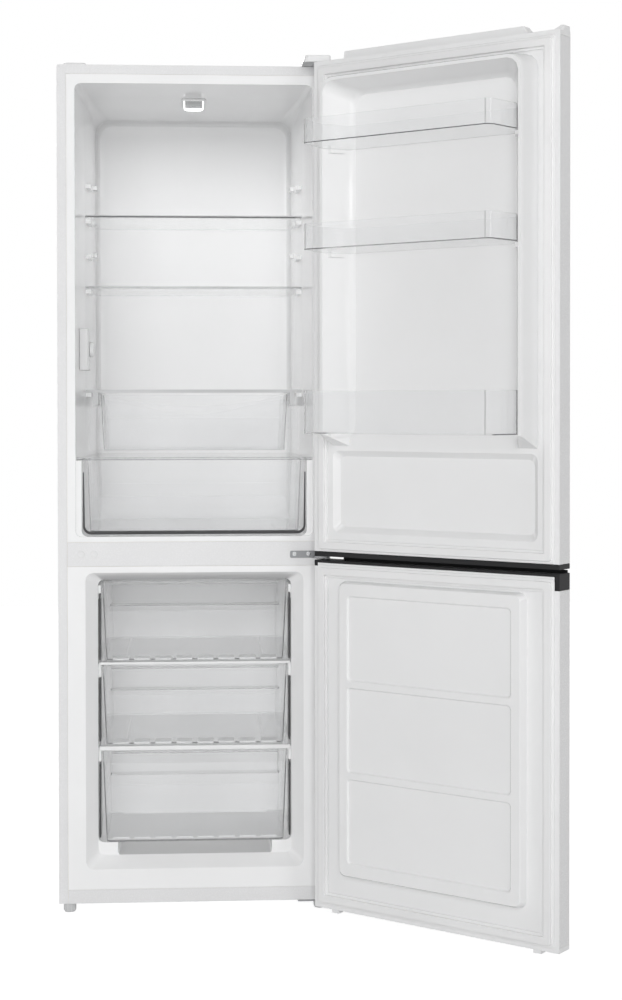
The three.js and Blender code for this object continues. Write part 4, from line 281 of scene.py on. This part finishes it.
LOOKS = {
    "white_steel": opaque("white_steel", (0.77, 0.77, 0.775), (0.81, 0.81, 0.815), (0.22, 0.3), 700, 0.05),
    "galvanised_steel": opaque(
        "galvanised_steel", (0.5, 0.51, 0.52), (0.68, 0.69, 0.7), (0.3, 0.5), 45, 0.05, Metallic=1.0
    ),
    "foam": opaque("foam", (0.75, 0.68, 0.45), (0.85, 0.8, 0.6), (0.8, 0.95), 260, 0.8),
    "white_plastic": opaque("white_plastic", (0.84, 0.842, 0.845), (0.87, 0.872, 0.875), (0.14, 0.2), 500, 0.03),
    # painted light: the same white plastic as the door liners, made brighter for the fridge and freezer liners to
    # stand in for light inside the cabinet
    "liner_plastic_painted_light": opaque("liner_plastic_painted_light", (0.89, 0.892, 0.895), (0.92, 0.922, 0.925), (0.12, 0.18), 500, 0.03),
    "compressor_paint": opaque(
        "compressor_paint", (0.012, 0.012, 0.013), (0.022, 0.022, 0.024), (0.25, 0.38), 300, 0.1
    ),
    "black_plastic": opaque(
        "black_plastic", (0.008, 0.008, 0.009), (0.014, 0.014, 0.015), (0.5, 0.62), 900, 0.2, Specular_IOR_Level=0.3
    ),
    "copper": opaque("copper", (0.55, 0.27, 0.14), (0.8, 0.45, 0.28), (0.2, 0.4), 80, Metallic=1.0),
    "grey_plastic": opaque("grey_plastic", (0.55, 0.555, 0.56), (0.65, 0.655, 0.66), (0.4, 0.5), 700, 0.1),
    "hinge_steel": opaque(
        "hinge_steel", (0.25, 0.255, 0.265), (0.36, 0.365, 0.375), (0.3, 0.42), 300, 0.1, (1, 1, 12), Metallic=1.0
    ),
    "screw_steel": opaque(
        "screw_steel", (0.55, 0.56, 0.57), (0.68, 0.69, 0.7), (0.2, 0.32), 400, 0.05, Metallic=1.0
    ),
    # painted shade: near-black for the shadow in narrow gaps between drawers and the liner walls
    "painted_gap_shade": opaque("painted_gap_shade", (0.045, 0.045, 0.047), (0.065, 0.065, 0.067), (0.55, 0.65), 600, 0.1),
    "frosted": opaque("frosted", (0.76, 0.765, 0.77), (0.83, 0.835, 0.84), (0.4, 0.5), 300, 0.15),
    # painted shade: a darker copy of the white plastic, so the thermostat housing sits as dim as the liner wall
    # around it
    "painted_shade_plastic": opaque("painted_shade_plastic", (0.7, 0.703, 0.706), (0.75, 0.752, 0.754), (0.2, 0.28), 500, 0.03),
    "rib_plastic": opaque("rib_plastic", (0.5, 0.503, 0.506), (0.58, 0.582, 0.585), (0.15, 0.25), 400, 0.03),
    # painted shade: grey darker than the cover's own plastic, for the shade on the lamp cover's front face
    "lamp_cover": opaque("lamp_cover", (0.5, 0.505, 0.51), (0.6, 0.603, 0.606), (0.25, 0.35), 500, 0.03),
    "clear_plastic": clear("clear_plastic", (0.965, 0.967, 0.97), (0.982, 0.984, 0.986), (0.0, 0.02), 1.3, 0.05),
    "balcony_plastic": clear(
        "balcony_plastic", (0.93, 0.933, 0.936), (0.955, 0.957, 0.96), (0.0, 0.03), 1.38, 0.06
    ),
    "glass": clear("glass", (0.972, 0.984, 0.98), (0.982, 0.99, 0.987), (0.0, 0.0), 1.38, 0.02),
    "gasket_rubber": opaque("gasket_rubber", (0.83, 0.83, 0.833), (0.87, 0.87, 0.872), (0.5, 0.6), 500, 0.1),
}
CLEAR_SLOTS = ("clear_plastic", "glass")
OWN_LOOKS = {
    "lamp_lens": glowing("lamp_glow", (0.8, 0.8, 0.8), 1.2),
    "top_hinge_bracket": LOOKS["screw_steel"],
    # the thermostat housing's darker plastic is painted shade
    "thermostat_housing": LOOKS["painted_shade_plastic"],
    # the liners get the brighter copy of the white plastic, which is painted light
    "fridge_liner": LOOKS["liner_plastic_painted_light"],
    "freezer_liner": LOOKS["liner_plastic_painted_light"],
    "chiller_cover_frame": LOOKS["grey_plastic"],
    "upper_balcony": LOOKS["balcony_plastic"],
    "middle_balcony": LOOKS["balcony_plastic"],
    "bottle_balcony": LOOKS["balcony_plastic"],
}


# ---- Pieces ----
JOINTS = {joint["name"]: joint for joint in RECORD["behaviour"]["joints"]}
UPPER_PIN = Vector(JOINTS["upper_door_hinge"]["pos_m"])
LOWER_PIN = Vector(JOINTS["lower_door_hinge"]["pos_m"])
STANDS_OPEN = math.radians(140.5)
ALONG_DOOR = Vector((-math.cos(STANDS_OPEN), -math.sin(STANDS_OPEN), 0))
OUT_OF_DOOR = Vector((math.sin(STANDS_OPEN), -math.cos(STANDS_OPEN), 0))
RIDGE_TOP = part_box("upper_door_top_cap")[1][2]


def on_door(pin, along, out, height):
    """The place at a distance from the pin along the open door, out of it, and at a height."""
    place = pin + ALONG_DOOR * along + OUT_OF_DOOR * out
    place.z = height
    return place


def slope_cap_ends(made):
    """The ridge on the upper door's cap ends in a slope, and its corner stays low."""
    for vert in made.verts:
        if vert.co.z > RIDGE_TOP - 0.001:
            along = (vert.co - UPPER_PIN).dot(ALONG_DOOR)
            if along > 0.57:
                vert.co.z = RIDGE_TOP - 0.0095
            elif along > 0.49:
                vert.co -= ALONG_DOOR * 0.016


RESHAPED = {"upper_door_top_cap": slope_cap_ends}


def moulded(name, look=None):
    """The CAD piece with its edges rounded and its curves smooth."""
    cad = NODES[name]
    made = bmesh.new()
    made.from_mesh(cad.data)
    made.transform(cad.matrix_world)
    bmesh.ops.remove_doubles(made, verts=made.verts, dist=WELD)
    bmesh.ops.dissolve_limit(made, angle_limit=FLAT_UNDER, verts=made.verts, edges=made.edges)
    if name in SPLIT_FIRST:
        bmesh.ops.triangulate(made, faces=[face for face in made.faces if len(face.verts) > 4])
    if name in RESHAPED:
        RESHAPED[name](made)
    for face in made.faces:
        face.smooth = True
    for edge in made.edges:
        edge.smooth = len(edge.link_faces) == 2 and edge.calc_face_angle() < SMOOTH_UNDER
    mesh = bpy.data.meshes.new(name + "_shape")
    made.to_mesh(mesh)
    made.free()
    shown = bpy.data.objects.new(name + "_shown", mesh)
    SCENE.collection.objects.link(shown)
    rounding = shown.modifiers.new("edges", "BEVEL")
    rounding.width = EDGES[SLOTS[name]]
    rounding.segments = 2
    rounding.limit_method = "ANGLE"
    rounding.angle_limit = SMOOTH_UNDER
    rounding.use_clamp_overlap = True
    flatten = shown.modifiers.new("flat faces stay flat", "WEIGHTED_NORMAL")
    flatten.keep_sharp = True
    mesh.materials.append(look or LOOKS[SLOTS[name]])
    if SLOTS[name] in CLEAR_SLOTS:
        shown.visible_shadow = False
        shown.visible_diffuse = False
    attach(shown, BODIES[name])
    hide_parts(name)
    return shown


for piece, cad in NODES.items():
    if SLOTS[piece] == "foam":
        cad.data.materials.clear()
        cad.data.materials.append(LOOKS["foam"])
    else:
        moulded(piece, OWN_LOOKS.get(piece))

# ---- Trim that the solids leave out ----
def raised(name, body, look, made, edge):
    """A finished piece from a mesh under construction, with rounded edges, on a body."""
    bmesh.ops.recalc_face_normals(made, faces=made.faces)
    for face in made.faces:
        face.smooth = True
    for side in made.edges:
        side.smooth = len(side.link_faces) == 2 and side.calc_face_angle() < SMOOTH_UNDER
    mesh = bpy.data.meshes.new(name)
    made.to_mesh(mesh)
    made.free()
    mesh.materials.append(look)
    piece = bpy.data.objects.new(name, mesh)
    SCENE.collection.objects.link(piece)
    rounding = piece.modifiers.new("edges", "BEVEL")
    rounding.width = edge
    rounding.segments = 3
    rounding.limit_method = "ANGLE"
    rounding.angle_limit = SMOOTH_UNDER
    flatten = piece.modifiers.new("flat faces stay flat", "WEIGHTED_NORMAL")
    flatten.keep_sharp = True
    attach(piece, body)
    return piece


def block(made, low, high):
    """An eight-cornered solid between two corners."""
    corners = [made.verts.new((x, y, z)) for x in (low[0], high[0]) for y in (low[1], high[1]) for z in (low[2], high[2])]
    for a, b, c, d in ((0, 1, 3, 2), (4, 6, 7, 5), (0, 4, 5, 1), (2, 3, 7, 6), (0, 2, 6, 4), (1, 5, 7, 3)):
        made.faces.new([corners[i] for i in (a, b, c, d)])


def turned(made, at, outward, profile, sides=32):
    """A solid of revolution about an axis through a point, from its profile of radius and height."""
    turn = Vector(outward).to_track_quat("Z", "Y")
    rings = []
    for radius, height in profile:
        count = sides if radius else 1
        ring = []
        for i in range(count):
            angle = math.tau * i / count
            local = Vector((radius * math.cos(angle), radius * math.sin(angle), height))
            ring.append(made.verts.new(Vector(at) + turn @ local))
        rings.append(ring)
    for lower, upper in zip(rings, rings[1:]):
        for i in range(sides):
            j = (i + 1) % sides
            around = [lower[i % len(lower)], lower[j % len(lower)], upper[j % len(upper)], upper[i % len(upper)]]
            made.faces.new(list(dict.fromkeys(around)))


# the rail that the fingers pull, over the scoop in the freezer door's cap
CAP_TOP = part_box("lower_door_grip_cap")[1][2]
RAIL_FROM, RAIL_TO = 0.036, 0.578  # from the pin, along the door
RAIL_OUTER, RAIL_INNER = 0.0158, 0.0112  # from the pin, across the door
RAIL_FOOT, RAIL_RISE = 0.0065, 0.0056
rail = bmesh.new()
block(rail, (RAIL_FROM, RAIL_INNER, CAP_TOP - RAIL_FOOT), (RAIL_TO, RAIL_OUTER, CAP_TOP + RAIL_RISE))
for vert in rail.verts:
    vert.co = on_door(LOWER_PIN, *vert.co)
raised("grip_rail", "lower_door", LOOKS["black_plastic"], rail, 0.0012)

# screw heads with a socket, on the middle hinge's plate
HINGE_LOW = Vector(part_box("middle_hinge")[0])
SCREW_HEAD = (
    (0, 0.0002),
    (0.0052, 0.0002),
    (0.0052, 0.0016),
    (0.0048, 0.0024),
    (0.0036, 0.0029),
    (0.0024, 0.003),
    (0.0021, 0.0028),
    (0.0018, 0.0022),
    (0, 0.0022),
)


def front_at(name, x, z, reach):
    """The foremost place of a CAD piece around a point of its face."""
    cad = NODES[name]
    places = [cad.matrix_world @ vert.co for vert in cad.data.vertices]
    return min(place.y for place in places if math.hypot(place.x - x, place.z - z) < reach)


for side, offset in (("left", 0.0099), ("right", 0.0407)):
    x, z = HINGE_LOW.x + offset, HINGE_LOW.z + 0.0194
    screw = bmesh.new()
    turned(screw, (x, front_at("middle_hinge", x, z, 0.0055) + 0.002, z), (0, -1, 0), SCREW_HEAD)
    raised(f"middle_hinge_screw_{side}", "cabinet", LOOKS["screw_steel"], screw, 0.0002)

# the cover over the front of the lamp, with two ribs across it; its grey is painted shade for its front face, which
# the lamp behind it leaves dark
COVER_HALF, COVER_DEPTH, COVER_DROP = 0.0195, 0.038, 0.0012
middle = (LENS_LOW.x + LENS_HIGH.x) / 2
cover = bmesh.new()
cover_front = LENS_LOW.y - 0.0008
block(
    cover,
    (middle - COVER_HALF, cover_front, LENS_LOW.z - COVER_DROP),
    (middle + COVER_HALF, cover_front + COVER_DEPTH, LENS_HIGH.z - 0.0002),
)
for up in (0.0022, 0.0056):
    block(
        cover,
        (middle - COVER_HALF * 0.8, cover_front - 0.0012, LENS_LOW.z + up),
        (middle + COVER_HALF * 0.8, cover_front + 0.0002, LENS_LOW.z + up + 0.0014),
    )
raised("lamp_cover", "cabinet", LOOKS["lamp_cover"], cover, 0.0005)


def slab(made, outline, front, back):
    """A plate of the outline given in x and z, between two depths."""
    faces = []
    for depth in (front, back):
        faces.append([made.verts.new((x, depth, z)) for x, z in outline])
    made.faces.new(faces[0])
    made.faces.new(list(reversed(faces[1])))
    for i in range(len(outline)):
        j = (i + 1) % len(outline)
        made.faces.new([faces[0][i], faces[0][j], faces[1][j], faces[1][i]])


def cup(low_x, high_x, floor, top, radius, steps=8):
    """The left side, bottom and right side of a rounded rectangle, as one line of points."""
    line = [(low_x, top)]
    for centre_x, start in ((low_x + radius, math.pi), (high_x - radius, 1.5 * math.pi)):
        for i in range(steps + 1):
            angle = start + 0.5 * math.pi * i / steps
            line.append((centre_x + radius * math.cos(angle), floor + radius + radius * math.sin(angle)))
    line.append((high_x, top))
    return line


# the nose at the free end of the upper door's cap, and the base of the cover over the top hinge
NOSE = ((0.546, -0.0205), (0.556, -0.0175), (0.567, -0.012), (0.576, -0.0078), (0.5835, -0.0082), (0.5835, -0.0205))
nose = bmesh.new()
slab(nose, [(along, RIDGE_TOP + height) for along, height in NOSE], -0.0135, 0.0095)
for vert in nose.verts:
    vert.co = on_door(UPPER_PIN, *vert.co)
raised("top_cap_nose", "upper_door", LOOKS["white_plastic"], nose, 0.0016)
HOOD_LOW, HOOD_HIGH = (Vector(corner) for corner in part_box("top_hinge_cover"))
base = bmesh.new()
block(
    base,
    (HOOD_LOW.x + 0.0021, HOOD_LOW.y + 0.0021, HOOD_LOW.z + 0.0002),
    (HOOD_HIGH.x - 0.0021, frame["nodes"]["outer_shell"].bound_box[0][1] - 0.0006, HOOD_LOW.z + 0.0016),
)
raised("top_hinge_cover_base", "cabinet", LOOKS["grey_plastic"], base, 0.0004)

# a plug over the small opening that the fridge door's liner has at each lower corner of its pocket
for side, along in (("hinge", 0.0844), ("free", 0.4896)):
    plug = bmesh.new()
    block(plug, (along - 0.0034, -0.0326, 1.0236), (along + 0.0034, -0.0316, 1.0312))
    for vert in plug.verts:
        vert.co = on_door(UPPER_PIN, *vert.co)
    raised(f"ledge_plug_{side}", "upper_door", LOOKS["white_plastic"], plug, 0.0004)

# a rib up each front corner of the door balconies
for name, body in (
    ("upper_balcony", "upper_door_balcony"),
    ("middle_balcony", "middle_door_balcony"),
    ("bottle_balcony", "bottle_door_balcony"),
):
    cad = NODES[name]
    places = [cad.matrix_world @ vert.co - UPPER_PIN for vert in cad.data.vertices]
    reach = [(place.dot(ALONG_DOOR), place.dot(OUT_OF_DOOR)) for place in places]
    face = min(out for along, out in reach)
    corners = [along for along, out in reach if out < face + 0.0005]
    low, high = (corner[2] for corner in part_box(name))
    for side, along in (("hinge", min(corners)), ("free", max(corners))):
        rib = bmesh.new()
        block(rib, (along - 0.0013, face - 0.0009, low + 0.0015), (along + 0.0013, face + 0.0004, high))
        for vert in rib.verts:
            vert.co = on_door(UPPER_PIN, *vert.co)
        shown = raised(f"{name}_rib_{side}", body, LOOKS["rib_plastic"], rib, 0.0005)
        shown.visible_shadow = False

# painted shade: a dark band round the crisper's front for the shadowed gap between drawer and liner, narrower
# towards the top
CRISPER_LOW, CRISPER_HIGH = (Vector(corner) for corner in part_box("crisper_drawer"))
GAP_SHADE_TOP = CRISPER_HIGH.z - 0.026
edge_line = cup(CRISPER_LOW.x - 0.0012, CRISPER_HIGH.x + 0.0012, CRISPER_LOW.z - 0.0054, GAP_SHADE_TOP, 0.018)
inner_line = cup(CRISPER_LOW.x + 0.003, CRISPER_HIGH.x - 0.003, CRISPER_LOW.z + 0.0006, GAP_SHADE_TOP, 0.0135)
inner_line[0] = (CRISPER_LOW.x + 0.001, GAP_SHADE_TOP)
inner_line[-1] = (CRISPER_HIGH.x - 0.001, GAP_SHADE_TOP)
painted_gap_shade = bmesh.new()
for (a, b), (c, d) in zip(zip(edge_line, edge_line[1:]), zip(inner_line, inner_line[1:])):
    slab(painted_gap_shade, (a, b, d, c), CRISPER_LOW.y - 0.0009, CRISPER_LOW.y + 0.0014)
bmesh.ops.remove_doubles(painted_gap_shade, verts=painted_gap_shade.verts, dist=WELD)
inside = [face for face in painted_gap_shade.faces if all(len(edge.link_faces) > 2 for edge in face.edges)]
bmesh.ops.delete(painted_gap_shade, geom=inside, context="FACES_ONLY")
raised("crisper_painted_gap_shade", "crisper_bin", LOOKS["painted_gap_shade"], painted_gap_shade, 0.0003)

# the chiller drawer's front, whose upper edge dips in the middle for the hand
CHILLER_LOW, CHILLER_HIGH = (Vector(corner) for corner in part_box("chiller_drawer"))
FRONT_OVERHANG = 0.0125
SHOULDER, EDGE_TOP, DIP = 0.0945, 0.1135, 0.0335
left, right = CHILLER_LOW.x - FRONT_OVERHANG, CHILLER_HIGH.x + FRONT_OVERHANG
foot = CHILLER_LOW.z + 0.0004
outline = cup(left, right, foot, foot + SHOULDER, 0.006)
dip_left, dip_right = left + 0.024, right - 0.024
outline.append((dip_right, foot + SHOULDER))
for i in range(25):
    part = i / 24
    drop = DIP * (0.5 - 0.5 * math.cos(math.tau * part))
    outline.append((dip_right + (dip_left - dip_right) * part, foot + EDGE_TOP - drop))
outline.append((dip_left, foot + SHOULDER))
front = bmesh.new()
slab(front, outline, CHILLER_LOW.y - 0.0032, CHILLER_LOW.y - 0.0004)
chiller_front = raised("chiller_front", "chiller_bin", LOOKS["clear_plastic"], front, 0.0006)
chiller_front.visible_shadow = False
chiller_front.visible_diffuse = False

# painted shade: dark strips on the freezer's walls beside the drawers, for the shadowed gaps there; and a mat with
# pads in each drawer
BINS = {"top": (0.006, 0.152), "middle": (0.011, 0.152), "bottom": (0.0095, 0.171)}
for level, (strip_low, strip_high) in BINS.items():
    low, high = (Vector(corner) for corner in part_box(f"freezer_drawer_{level}"))
    for side, x in (("left", low.x - 0.0021), ("right", high.x + 0.0021)):
        strip = bmesh.new()
        block(strip, (x - 0.0016, low.y + 0.002, low.z + strip_low), (x + 0.0016, low.y + 0.05, low.z + strip_high))
        # a dark strip of painted shade in the gap beside the drawer
        raised(f"freezer_strip_{level}_{side}", "cabinet", LOOKS["painted_gap_shade"], strip, 0.0008)
    mat = bmesh.new()
    floor_at = low.z + 0.0034
    block(mat, (low.x + 0.012, low.y + 0.012, floor_at), (high.x - 0.012, high.y - 0.03, floor_at + 0.0008))
    pads = 8
    pitch = (high.x - low.x - 0.04) / pads
    for i in range(pads):
        x = low.x + 0.02 + pitch * (i + 0.12)
        block(mat, (x, low.y + 0.016, floor_at + 0.0007), (x + pitch * 0.76, low.y + 0.06, floor_at + 0.0036))
    shown = raised(f"freezer_mat_{level}", f"{level}_freezer_bin", LOOKS["frosted"], mat, 0.0004)
    shown.visible_shadow = False
    shown.visible_diffuse = False
